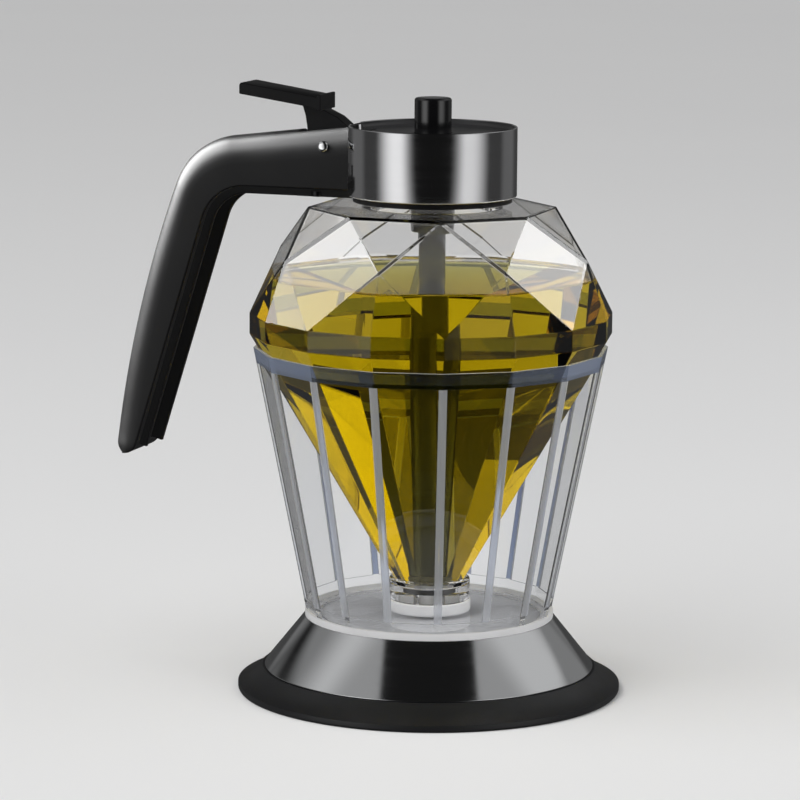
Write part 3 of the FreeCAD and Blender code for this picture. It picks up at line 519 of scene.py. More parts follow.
@dataclass(frozen=True)
class ClearPlastic:
    """Clear moulded plastic or a clear filling, tinted by its depth."""

    name: str
    tint: tuple = (1.0, 1.0, 1.0)
    density: float = 0.0
    ior: float = 1.49
    roughness: float = 0.0
    colour: tuple = (1.0, 1.0, 1.0)
    clear: float = 1.0
    # painted sheen: clearness given up where the surface is seen aslant, a painted reflection
    painted_sheen: float = 0.0

    def build(self) -> bpy.types.Material:
        """Makes the material, less clear where it is seen aslant if it has a painted sheen, which
        paints a reflection there.

        Returns:
            The material.
        """
        material, tree, shader = principled(
            self.name, Base_Color=(*self.colour, 1.0), Roughness=self.roughness,
            Transmission_Weight=self.clear, IOR=self.ior,
        )
        if self.density > 0:
            volume = add(tree, "ShaderNodeVolumeAbsorption", Density=self.density,
                         Color=(*self.tint, 1.0))
            tree.links.new(volume.outputs[0], tree.nodes["Material Output"].inputs["Volume"])
        # Painted sheen: less clear, showing the colour, where the surface is seen aslant.
        if self.painted_sheen > 0:
            facing = add(tree, "ShaderNodeLayerWeight").outputs["Facing"]
            clear = ranged(tree, facing, self.clear, self.clear - self.painted_sheen, 0.15, 0.50)
            tree.links.new(clear, shader.inputs["Transmission Weight"])
        return material


class Finish(Enum):
    """Every finish of the dispenser."""

    FOOT = MouldedPlastic("foot_rubber", (0.014, 0.0145, 0.016), roughness=0.48, grain=0.05,
                          grain_scale=1500.0, specular=0.7)
    CORE = MouldedPlastic("core_plastic", (0.05, 0.05, 0.055), roughness=0.5)
    PALE = MouldedPlastic("pale_plastic", (0.90, 0.90, 0.91), roughness=0.42, grain=0.01)
    SEAL = MouldedPlastic("seal_rubber", (0.06, 0.06, 0.06), roughness=0.6)
    BLACK = MouldedPlastic("black_moulding", (0.009, 0.009, 0.0095), roughness=0.38, grain=0.012,
                           grain_scale=2600.0, spread=0.04, specular=0.15)
    GLOSS = MouldedPlastic("gloss_black", (0.008, 0.008, 0.009), roughness=0.12, grain=0.002,
                           grain_scale=900.0, spread=0.03, specular=0.9)
    PLATE = MouldedPlastic("dark_plate", (0.048, 0.048, 0.050), roughness=0.34, grain=0.006,
                           grain_scale=2600.0, spread=0.04, specular=0.4)
    SKIRT = TurnedMetal("skirt_steel", (0.72, 0.73, 0.74), roughness=0.11, lines=0.02)
    COVER = TurnedMetal("polished_steel", (0.62, 0.62, 0.63), roughness=0.13, lines=0.03)
    SCREW = TurnedMetal("screw_steel", (0.62, 0.62, 0.64), roughness=0.25)
    DARK_SCREW = TurnedMetal("dark_screw", (0.035, 0.035, 0.037), roughness=0.35)
    PIN = TurnedMetal("pin_chrome", (0.85, 0.86, 0.87), roughness=0.08, lines=0.02)
    JAR = ClearPlastic("jar_clear")
    HOLDER = ClearPlastic("holder_clear", (0.62, 0.72, 0.88), 30.0, 1.32)
    # Rim band: real blue-grey tint, plus a painted reflection where it is seen aslant.
    RIM = ClearPlastic("holder_clear_rim", (0.62, 0.72, 0.88), 30.0, 1.32,
                       colour=(0.36, 0.42, 0.56), painted_sheen=0.42)
    # Ribs and the rim's top edge: pale and partly diffuse, a painted highlight line.
    RIB = ClearPlastic("holder_clear_rib", (0.80, 0.84, 0.92), 12.0, 1.32, roughness=0.22,
                       colour=(0.80, 0.82, 0.86), clear=0.62)
    HONEY = ClearPlastic("honey", (0.942, 0.894, 0.28), 98.0, 1.0)


def finish_material(finish: Finish) -> bpy.types.Material:
    """The material of a finish, made once and shared.

    Args:
        finish: which finish.

    Returns:
        Its material.
    """
    name = f"{finish.value.name}_look"
    material = bpy.data.materials.get(name)
    if material is None:
        material = finish.value.build()
        material.name = name
    return material


def dress(piece: Piece, finish: Finish) -> Piece:
    """Gives a piece its finish.

    Args:
        piece: a new piece or a node of the solid model.
        finish: which finish.

    Returns:
        The same object.
    """
    piece.data.materials.clear()
    piece.data.materials.append(finish_material(finish))
    return piece


def seat(piece: Piece, finish: Finish, body: str, *nodes: str) -> Piece:
    """Dresses a piece, puts it on a body and hides the nodes that it replaces.

    Args:
        piece: the new piece.
        finish: its finish.
        body: the body that carries it.
        *nodes: nodes of the solid model that it replaces.

    Returns:
        The same object.
    """
    dress(piece, finish)
    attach(piece, body)
    if nodes:
        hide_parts(*nodes)
    LOG.info("%s rides on %s, %d faces", piece.name, body, len(piece.data.polygons))
    return piece


# ------------------------------------------------------------------ stand and holder
@dataclass
class Stand:
    """Rubber foot, metal skirt and the pale seat for the clear holder."""

    foot_r: float = 44.5
    foot_h: float = 5.4
    foot_lip: float = 1.6
    foot_round: float = 0.6
    flank_hollow: float = 0.28
    foot_hole_r: float = 31.0
    foot_web: float = 1.2
    skirt_low_r: float = 38.5
    skirt_top_r: float = 28.9
    skirt_top_z: float = 17.4
    skirt_wall: float = 1.2
    seat_top_z: float = 19.0
    seat_round: float = 0.35
    sides: int = 16
    holder_corner_r: float = 28.52
    holder_play: float = 0.06
    holder_low_z: float = 17.9
    plate_low_z: float = 14.4
    plate_top_z: float = 16.4
    plate_hole_r: float = 25.1

    def foot(self) -> Piece:
        """Rubber ring with rounded edges and a flank hollowed by d sin(pi t), t from 0 to 1.

        Returns:
            The new object.
        """
        share = np.linspace(0, 1, 12)
        hollow = self.flank_hollow * np.sin(math.pi * share)
        flank_r = self.foot_r + share * (self.skirt_low_r + 0.3 - self.foot_r)
        flank_z = self.foot_lip + share * (self.foot_h - self.foot_lip)
        lip = [(0, 0), (self.foot_r, 0), (self.foot_r, self.foot_lip + HAIR / 2)]
        outline = np.concatenate([
            rounded(lip, [0, self.foot_round, 0]),
            np.stack([flank_r - hollow * 0.4, flank_z - hollow], axis=1),
            [(self.skirt_low_r - 0.4, self.foot_h), (self.foot_hole_r, self.foot_h),
             (self.foot_hole_r, self.foot_web), (0, self.foot_web)],
        ])
        return turned("foot_ring_look", outline, closed=False)

    def skirt(self) -> Piece:
        """Spun cone with rounded hems.

        Returns:
            The new object.
        """
        wall, low_z = self.skirt_wall, self.foot_h + HAIR
        outline = rounded(
            [(self.skirt_low_r, low_z), (self.skirt_top_r, self.skirt_top_z),
             (self.skirt_top_r - wall, self.skirt_top_z), (self.skirt_low_r - wall, low_z)],
            [0.2, 0.35, 0.1, 0.1], 6,
        )
        return turned("base_skirt_look", outline, steps=256)

    def seat_plate(self) -> Piece:
        """Plate and raised ring, round outside and many-sided where the holder stands in it.

        The ring's inner edge lies at R cos(h) / cos(a mod 2h - h), with h half a side's angle.

        Returns:
            The new object.
        """
        angle = full_turn(self.sides * 12)
        half = math.pi / self.sides
        facet = math.cos(half) / np.cos(np.mod(angle, 2 * half) - half)
        inner = (self.holder_corner_r + self.holder_play) * facet
        outer, top = self.skirt_top_r, self.seat_top_z
        wall_r = outer - self.skirt_wall
        rows = [
            (0.0, self.plate_low_z), (wall_r, self.plate_low_z), (wall_r, self.skirt_top_z),
            (outer, self.skirt_top_z), (outer, top - self.seat_round), (outer - 0.1, top - 0.1),
            (np.maximum(outer - self.seat_round, inner + HAIR), top), (inner, top - HAIR),
            (inner, self.holder_low_z), (self.plate_hole_r, self.holder_low_z),
            (self.plate_hole_r, self.plate_top_z), (0.0, self.plate_top_z),
        ]
        grid = np.stack([around(r, z, angle) for r, z in rows])
        return skin("seat_plate_look", grid, capped=False)

    def build(self) -> None:
        """Makes and seats the pieces."""
        seat(self.foot(), Finish.FOOT, "stand", "foot_ring")
        seat(self.skirt(), Finish.SKIRT, "stand", "base_skirt")
        seat(self.seat_plate(), Finish.PALE, "stand", "seat_plate")


@dataclass
class Holder:
    """Clear many-sided cup with a band at its rim and a rib at each corner."""

    sides: int = 16
    rim_r: float = 41.0
    rim_z: float = 80.3
    low_z: float = 17.9
    spread: float = 0.2
    wall: float = 2.0
    floor_r: float = 25.0
    floor_low_z: float = 16.4
    floor_top_z: float = 18.3
    seat_slope: float = 0.589
    seat_r: float = 40.095
    panel_low_z: float = 21.2
    panel_high_z: float = 76.7
    panel_depth: float = 0.45
    rib: float = 1.9
    edge: float = 0.16
    # depth under the rim's top that takes the painted highlight
    rim_highlight_line: float = 0.35

    def corner_r(self, z: Array | float) -> Array | float:
        """Outer corner radius at a height."""
        return self.rim_r - self.spread * (self.rim_z - z)

    def ring(self, r: float, z: float, depth: float = 0.0) -> Array:
        """One ring of points: at each side a corner, then the two edges of its panel twice.

        Args:
            r: corner radius.
            z: height.
            depth: how far the panel lies inside the flat.

        Returns:
            Array of shape (5 * sides, 3).
        """
        half = math.pi / self.sides
        flat = r * math.cos(half)
        reach = r * math.sin(half)
        inner = reach - self.rib / 2
        along = np.array([-reach, -inner, -inner, inner, inner])
        out = flat - np.array([0, 0, depth, depth, 0])
        middle = (np.arange(self.sides)[:, None] + 0.5) * 2 * half
        x = out * np.cos(middle) - along * np.sin(middle)
        y = out * np.sin(middle) + along * np.cos(middle)
        return np.stack([x, y, np.full_like(x, z)], axis=-1).reshape(-1, 3)

    def cup(self) -> Piece:
        """Outside with its panels, rim, seat for the jar, inside and floor.

        Returns:
            The new object.
        """
        drop = (self.seat_r - (self.rim_r - self.wall)) / (self.seat_slope - self.spread)
        seat_low = self.rim_z - drop
        low, high = self.panel_low_z, self.panel_high_z
        rings = [
            (self.floor_r * 0.9, self.floor_low_z), (self.floor_r, self.floor_low_z),
            (self.floor_r, self.low_z), (self.corner_r(self.low_z), self.low_z),
            (self.corner_r(low), low), (self.corner_r(low), low + HAIR, self.panel_depth),
            (self.corner_r(high), high - HAIR, self.panel_depth), (self.corner_r(high), high),
            (self.rim_r, self.rim_z), (self.seat_r, self.rim_z),
            (self.corner_r(seat_low) - self.wall, seat_low),
            (self.corner_r(self.floor_top_z) - self.wall, self.floor_top_z),
        ]
        grid = np.stack([self.ring(*ring) for ring in rings])
        return soften(skin("holder_cup_look", grid, Shading.FLAT), self.edge, angle=14.0)

    def build(self) -> None:
        """Makes and seats the holder: its rim band in a finish with a painted sheen, its ribs and the
        rim's top edge in a pale finish that paints highlight lines.
        """
        cup = seat(self.cup(), Finish.HOLDER, "stand", "holder_cup")
        for finish in (Finish.RIM, Finish.RIB):
            cup.data.materials.append(finish_material(finish))
        centre = np.empty(len(cup.data.polygons) * 3)
        cup.data.polygons.foreach_get("center", centre)
        x, y, z = centre.reshape(-1, 3).T / MM
        half = math.pi / self.sides
        corner, reach = self.corner_r(z), np.hypot(x, y)
        aside = np.abs(reach * np.sin(np.mod(np.arctan2(y, x), 2 * half) - half))
        beside_panel = aside > corner * math.sin(half) - self.rib / 2 - 0.05
        outside = reach > corner - self.wall * 0.7
        upright = (z > self.panel_low_z + 1) & (z < self.panel_high_z - 1)
        # Ribs and the rim's top edge take the pale finish, a painted highlight.
        rib = outside & beside_panel & upright
        line = z > self.rim_z - self.rim_highlight_line
        # The band above the panels takes the painted sheen.
        band = z > self.panel_high_z - 0.1
        index = np.where(rib | line, 2, band)
        cup.data.polygons.foreach_set("material_index", index.astype(np.int32))


# ------------------------------------------------------------------ jar
@dataclass
class Brilliant:
    """Brilliant-cut outline: cone, girdle, star, kite and half facets up to a table.

    Corner rings are regular polygons; the kites' middle ring is set so that each kite is flat.
    """

    girdle_r: float
    low_z: float
    high_z: float
    mid_r: float
    table_r: float
    table_z: float
    tip_r: float
    tip_z: float
    sides: int = 16

    def facets(self) -> tuple:
        """Corner points and facets.

        Returns:
            Points of shape (n, 3), facets as corner numbers, and the numbers of the table ring.
        """
        n, step = self.sides, TURN / self.sides
        kite_r = self.mid_r * math.cos(step)
        rise = (self.table_z - self.high_z) / (self.girdle_r - self.table_r)
        mid_z = self.table_z - (kite_r - self.table_r) * rise
        every, second = full_turn(n), full_turn(n // 2)
        points = np.concatenate([
            around(self.tip_r, self.tip_z, every),
            around(self.girdle_r, self.low_z, every),
            around(self.girdle_r, self.high_z, every),
            around(self.mid_r, mid_z, second),
            around(self.table_r, self.table_z, second + step),
        ])
        tip, low, high = np.arange(n), n + np.arange(n), 2 * n + np.arange(n)
        mid, table = 3 * n + np.arange(n // 2), 3 * n + n // 2 + np.arange(n // 2)
        mid_next, table_next = np.roll(mid, -1), np.roll(table, -1)
        even, odd, even_next = high[0::2], high[1::2], np.roll(high[0::2], -1)
        groups = [
            np.stack([tip, np.roll(tip, -1), np.roll(low, -1), low], axis=1),
            np.stack([low, np.roll(low, -1), np.roll(high, -1), high], axis=1),
            np.stack([odd, mid_next, table, mid], axis=1),
            np.stack([even, odd, mid], axis=1),
            np.stack([odd, even_next, mid_next], axis=1),
            np.stack([table, mid_next, table_next], axis=1),
        ]
        faces = [face for group in groups for face in group.tolist()]
        return points, faces, table.tolist()


@dataclass
class Jar:
    """Clear faceted jar with its neck and nozzle, and the honey in it."""

    outer: Brilliant = field(default_factory=lambda: Brilliant(
        41.9, 83.5, 88.3, 37.2, 28.5, 112.8, 7.8, 25.6))
    inner: Brilliant = field(default_factory=lambda: Brilliant(
        40.7, 83.18, 87.94, 36.0, 27.42, 111.6, 5.9, 24.1))
    neck_r: float = 16.1
    neck_top_z: float = 117.9
    neck_round: float = 0.4
    bore_r: float = 13.4
    honey_z: float = 96.5
    meniscus: float = 0.9
    tip_z: float = 24.5
    nozzle_r: float = 9.3
    nozzle_top_z: float = 26.6
    nozzle_split_z: float = 21.4
    nozzle_low_z: float = 18.6
    ring_r: float = 9.5
    spigot_r: float = 7.0
    outlet_r: float = 2.4
    round_steps: int = 128
    edge: float = 0.2

    def hole_faces(self, table: list, first: int) -> list:
        """Flat faces between the table's corners and a circle of points.

        Args:
            table: numbers of the table's corners, in order.
            first: number of the circle's first point, level with angle 0.

        Returns:
            One face for each side of the table.
        """
        count, each = len(table), self.round_steps // len(table)
        shift = each // 2
        faces = []
        for k in range(count):
            side = [first + (shift + k * each + i) % self.round_steps for i in range(each + 1)]
            faces.append([table[k], table[(k + 1) % count], *side[::-1]])
        return faces

    def body(self) -> Piece:
        """Facets outside, neck, bore and the hollow above the honey, as one closed surface.

        Returns:
            The new object.
        """
        points, faces, table = self.outer.facets()
        hollow, roof, roof_table = self.hollow()
        top, edge = self.neck_top_z, self.neck_round
        rings = [
            (self.neck_r, self.outer.table_z), (self.neck_r, top - edge),
            (self.neck_r - 0.12, top - 0.12), (self.neck_r - edge, top), (self.bore_r + edge, top),
            (self.bore_r, top - edge), (self.bore_r, self.inner.table_z),
        ]
        base = len(points)
        last = base + (len(rings) - 1) * self.round_steps
        shift = last + self.round_steps
        faces.append(list(range(self.outer.sides)))
        faces += self.hole_faces(table, base)
        faces += [[base + i for i in quad] for quad in grid_faces(len(rings), self.round_steps)]
        faces += [[shift + i for i in face] for face in roof]
        faces += self.hole_faces([shift + i for i in roof_table], last)
        walls = [around(r, z, full_turn(self.round_steps)) for r, z in rings]
        return put_mesh("jar_look", np.concatenate([points, *walls, hollow]), faces, Shading.FLAT)

    def hollow(self) -> tuple:
        """The hollow's facets above the honey, with the honey's surface as their floor.

        Returns:
            Points, faces, and the corners of the hollow's table in order.
        """
        points, faces = read_out(self.clipped(keep_above=True))
        table = np.flatnonzero(np.abs(points[:, 2] - self.inner.table_z) < 1e-4)
        angle = np.arctan2(points[table, 1], points[table, 0]) % TURN
        return points, faces, table[np.argsort(angle)].tolist()

    def clipped(self, keep_above: bool) -> bmesh.types.BMesh:
        """Inner facets cut at the honey's rim, closed by its surface with a raised edge.

        Args:
            keep_above: keeps the air above, open at the table; otherwise the honey below.

        Returns:
            The mesh, still to be freed.
        """
        points, faces, table = self.inner.facets()
        if not keep_above:
            faces += [table, list(range(self.inner.sides))]
        bm = bmesh.new()
        verts = [bm.verts.new(p) for p in points]
        for face in faces:
            bm.faces.new([verts[i] for i in face])
        rim_z = self.honey_z + self.meniscus * 0.75
        self.cut_level(bm, rim_z, keep_above)
        floor = [f for f in bm.faces if all(abs(v.co.z - rim_z) < 1e-4 for v in f.verts)]
        for level, width in ((0.45, 0.22), (0.2, 0.28), (0.1, 0.4)):
            bmesh.ops.inset_region(bm, faces=floor, thickness=self.meniscus * width)
            for v in {v for f in floor for v in f.verts}:
                v.co.z -= self.meniscus * level
        if not keep_above:
            self.cut_level(bm, self.tip_z, True)
        return bm

    def cut_level(self, bm: bmesh.types.BMesh, z: float, keep_above: bool) -> None:
        """Cuts a mesh at a height and closes the cut with one face.

        Args:
            bm: the mesh.
            z: the height.
            keep_above: which side stays.
        """
        done = bmesh.ops.bisect_plane(
            bm, geom=bm.verts[:] + bm.edges[:] + bm.faces[:], dist=1e-5, plane_co=(0, 0, z),
            plane_no=(0, 0, 1), clear_inner=keep_above, clear_outer=not keep_above,
        )
        edges = [e for e in done["geom_cut"] if isinstance(e, bmesh.types.BMEdge)]
        bmesh.ops.contextual_create(bm, geom=edges)

    def honey(self) -> Piece:
        """The filling, a hair under the hollow's floor."""
        points, faces = read_out(self.clipped(keep_above=False))
        return put_mesh("honey_look", points - [0.0, 0.0, HAIR], faces, Shading.FLAT)

    def nozzle(self) -> Piece:
        """Rounded nozzle under the cone, with its spigot and outlet.

        Returns:
            The new object.
        """
        low_z, split_z = self.nozzle_low_z + 0.6, self.nozzle_split_z + HAIR
        spigot_r = self.spigot_r - HAIR
        outline = rounded(
            [(self.outlet_r, self.tip_z - 0.6), (self.nozzle_r - 2.2, self.nozzle_top_z - 2.0),
             (self.nozzle_r - 1.6, self.nozzle_top_z), (self.nozzle_r, self.nozzle_top_z),
             (self.nozzle_r, split_z), (spigot_r, split_z), (spigot_r, low_z),
             (self.outlet_r, low_z)],
            [0.2, 0.8, 0.25, 0.8, 0.2, 0.1, 0.2, 0.2],
        )
        return turned("nozzle_look", outline)

    def ring(self) -> Piece:
        """Pale ring on the spigot.

        Returns:
            The new object.
        """
        outline = rounded(
            [(self.spigot_r, self.nozzle_low_z), (self.ring_r, self.nozzle_low_z),
             (self.ring_r, self.nozzle_split_z), (self.spigot_r, self.nozzle_split_z)],
            [0.1, 0.5, 0.35, 0.1],
        )
        return turned("nozzle_ring_look", outline)

    def build(self) -> None:
        """Makes and seats the jar's pieces."""
        seat(soften(self.body(), self.edge, angle=6.0), Finish.JAR, "jar", "jar")
        seat(self.nozzle(), Finish.JAR, "jar")
        seat(self.ring(), Finish.PALE, "jar", "nozzle_ring")
        seat(self.honey(), Finish.HONEY, "jar", "honey")


# ------------------------------------------------------------------ lid
@dataclass
class Lid:
    """Polished cover with a rolled rim, satin plate and the sleeve under the deck."""

    cover_r: float = 19.35
    inner_r: float = 18.85
    bottom_z: float = 115.35
    plate_low_z: float = 128.6
    plate_top_z: float = 129.8
    rim_h: float = 1.5
    slot_w: float = 6.2
    slot_low_z: float = 120.2
    slot_far_x: float = -24.0
    slot_near_x: float = -10.0
    plate_slot_r: float = 14.4
    knob_hole_r: float = 4.34
    tongue_half: float = 5.5
    tongue_top_z: float = 118.0
    bush_r: float = 2.28
    boss_r: float = 6.5
    boss_top_z: float = 120.2
    flange_r: float = 9.0
    flange_top_z: float = 118.8
    flange_low_z: float = 117.2
    sleeve_bore_r: float = 4.0
    sleeve_bore_z: float = 117.6
    sleeve_top_r: float = 5.6
    sleeve_low_r: float = 4.7
    sleeve_low_z: float = 106.8

    def cover(self) -> Piece:
        """Sheet cover, cut open where lever and tongue pass.

        Returns:
            The new object.
        """
        rim_z = self.plate_top_z + self.rim_h
        outline = rounded(
            [(self.inner_r, self.bottom_z), (self.cover_r, self.bottom_z), (self.cover_r, rim_z),
             (self.inner_r, rim_z)],
            [0.1, 0.3, 0.24, 0.24], 6,
        )
        reach = (self.slot_far_x, self.slot_near_x)
        return cut_away(
            turned("lid_cover_look", outline, steps=256),
            block(reach, (self.slot_low_z, rim_z + 1), self.slot_w / 2),
            block(reach, (self.bottom_z - 1, self.tongue_top_z), self.tongue_half),
        )

    def plate(self) -> Piece:
        """Plate with a thin upright lip inside the rim, and a slot for the lever.

        The cove at the lip's foot is a quarter of a circle as high as the lip.

        Returns:
            The new object.
        """
        top, hole_r = self.plate_top_z, self.knob_hole_r
        lip_r = self.inner_r - 0.03
        lip_z = top + self.rim_h - 0.12
        turn = np.linspace(0, math.pi / 2, 10)
        rise = lip_z - top
        outline = np.concatenate([
            [(hole_r, self.plate_low_z), (lip_r, self.plate_low_z), (lip_r, lip_z)],
            np.stack([lip_r - 0.15 - rise * (1 - np.cos(turn)), lip_z - rise * np.sin(turn)], axis=1),
            [(hole_r + 0.3, top), (hole_r, top - 0.3)],
        ])
        return cut_away(
            turned("top_plate_look", outline, steps=128),
            block((self.slot_far_x, -self.plate_slot_r), (self.plate_low_z - 1, top + 1),
                  self.slot_w / 2),
        )

    def sleeve(self) -> Piece:
        """Tapered sleeve under the deck, with its flange.

        Returns:
            The new object.
        """
        outline = rounded(
            [(self.bush_r, self.boss_top_z), (self.boss_r, self.boss_top_z),
             (self.boss_r, self.flange_top_z), (self.flange_r, self.flange_top_z),
             (self.flange_r, self.flange_low_z), (self.sleeve_top_r, self.flange_low_z),
             (self.sleeve_low_r, self.sleeve_low_z), (self.sleeve_bore_r, self.sleeve_low_z),
             (self.sleeve_bore_r, self.sleeve_bore_z), (self.bush_r, self.sleeve_bore_z)],
            [0, 0, 0, 0, 0.3, 0.6, 0.25, 0.15, 0, 0],
        )
        return turned("guide_sleeve_look", outline, steps=96)

    def build(self) -> None:
        """Makes and seats the lid's pieces."""
        seat(self.cover(), Finish.COVER, "lid", "lid_cover")
        seat(self.plate(), Finish.PLATE, "lid", "top_plate")
        seat(self.sleeve(), Finish.GLOSS, "lid", "guide_sleeve")


@dataclass
class Valve:
    """Rod with its spring collar, soft plug and round knob."""

    rod_r: float = 3.1
    stem_r: float = 2.2
    stem_depth: float = 4.3
    collar_r: float = 3.8
    collar_h: float = 0.7
    plug_r: float = 3.4
    plug_tip_r: float = 2.6
    plug_cone_h: float = 0.8
    plug_top_z: float = 28.55
    plug_low_z: float = 24.45
    shoulder_z: float = 109.6
    knob_r: float = 4.26
    knob_round: float = 0.6
    knob_dish: float = 0.12
    knob_low_z: float = 123.25
    knob_top_z: float = 137.8
    lift: float = 5.04
    coil_r: float = 3.1
    wire_r: float = 0.3
    coils: int = 5
    coil_low_z: float = 109.62
    coil_high_z: float = 117.58

    def spring(self) -> Piece:
        """Wire round a helix.

        A point is (d cos a, d sin a, z + w sin b) with d = R + w cos b, where z rises evenly
        with the angle a, R is the coil's radius and w the wire's.

        Returns:
            The new object.
        """
        a = np.linspace(0, TURN * self.coils, 48 * self.coils)[:, None]
        b = full_turn(10)
        rise = np.linspace(self.coil_low_z + self.wire_r, self.coil_high_z - self.wire_r, len(a))
        height = rise[:, None] + self.wire_r * np.sin(b)
        grid = around(self.coil_r + self.wire_r * np.cos(b), height, a)
        return skin("return_spring_look", grid, Shading.SMOOTH)

    def rod(self) -> Piece:
        """Shaft, collar and stem.

        Returns:
            The new object.
        """
        stem_top = self.knob_top_z - self.stem_depth
        collar_z = self.shoulder_z - self.collar_h
        outline = rounded(
            [(0, self.plug_top_z), (self.rod_r, self.plug_top_z), (self.rod_r, collar_z),
             (self.collar_r, collar_z), (self.collar_r, self.shoulder_z),
             (self.stem_r, self.shoulder_z), (self.stem_r, stem_top), (0, stem_top)],
            [0, 0.2, 0.15, 0.15, 0.15, 0.1, 0, 0],
        )
        return turned("valve_rod_look", outline, steps=64, closed=False)

    def knob(self) -> Piece:
        """Knob with a rounded edge and a shallow dish d cos(pi t / 2) deep, t from 0.9 to 0.

        Returns:
            The new object.
        """
        side = rounded(
            [(self.stem_r, self.knob_low_z), (self.knob_r, self.knob_low_z),
             (self.knob_r, self.knob_top_z), (0.0, self.knob_top_z)],
            [0, 0.3, self.knob_round, 0], 8,
        )[:-1]
        share = np.linspace(0.9, 0, 8)
        dish_z = self.knob_top_z - self.knob_dish * np.cos(share * math.pi / 2)
        dish = np.stack([(self.knob_r - self.knob_round) * share, dish_z], axis=1)
        outline = np.concatenate([[(0.0, self.knob_low_z + HAIR)], side, dish])
        return turned("knob_look", outline, steps=96, closed=False)

    def plug(self) -> Piece:
        """Soft plug with a sealing cone.

        Returns:
            The new object.
        """
        outline = rounded(
            [(0, self.plug_low_z), (self.plug_tip_r, self.plug_low_z),
             (self.plug_r, self.plug_low_z + self.plug_cone_h), (self.plug_r, self.plug_top_z),
             (0, self.plug_top_z)],
            [0, 0.2, 0.3, 0.3, 0],
        )
        return turned("valve_plug_look", outline, steps=64, closed=False)

    def build(self) -> None:
        """Makes and seats the valve's pieces."""
        spring = seat(self.spring(), Finish.SCREW, "lid", "return_spring")
        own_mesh(spring)
        seat(self.rod(), Finish.GLOSS, "rod", "valve_rod")
        seat(self.knob(), Finish.GLOSS, "rod", "knob")
        seat(self.plug(), Finish.SEAL, "rod", "valve_plug")


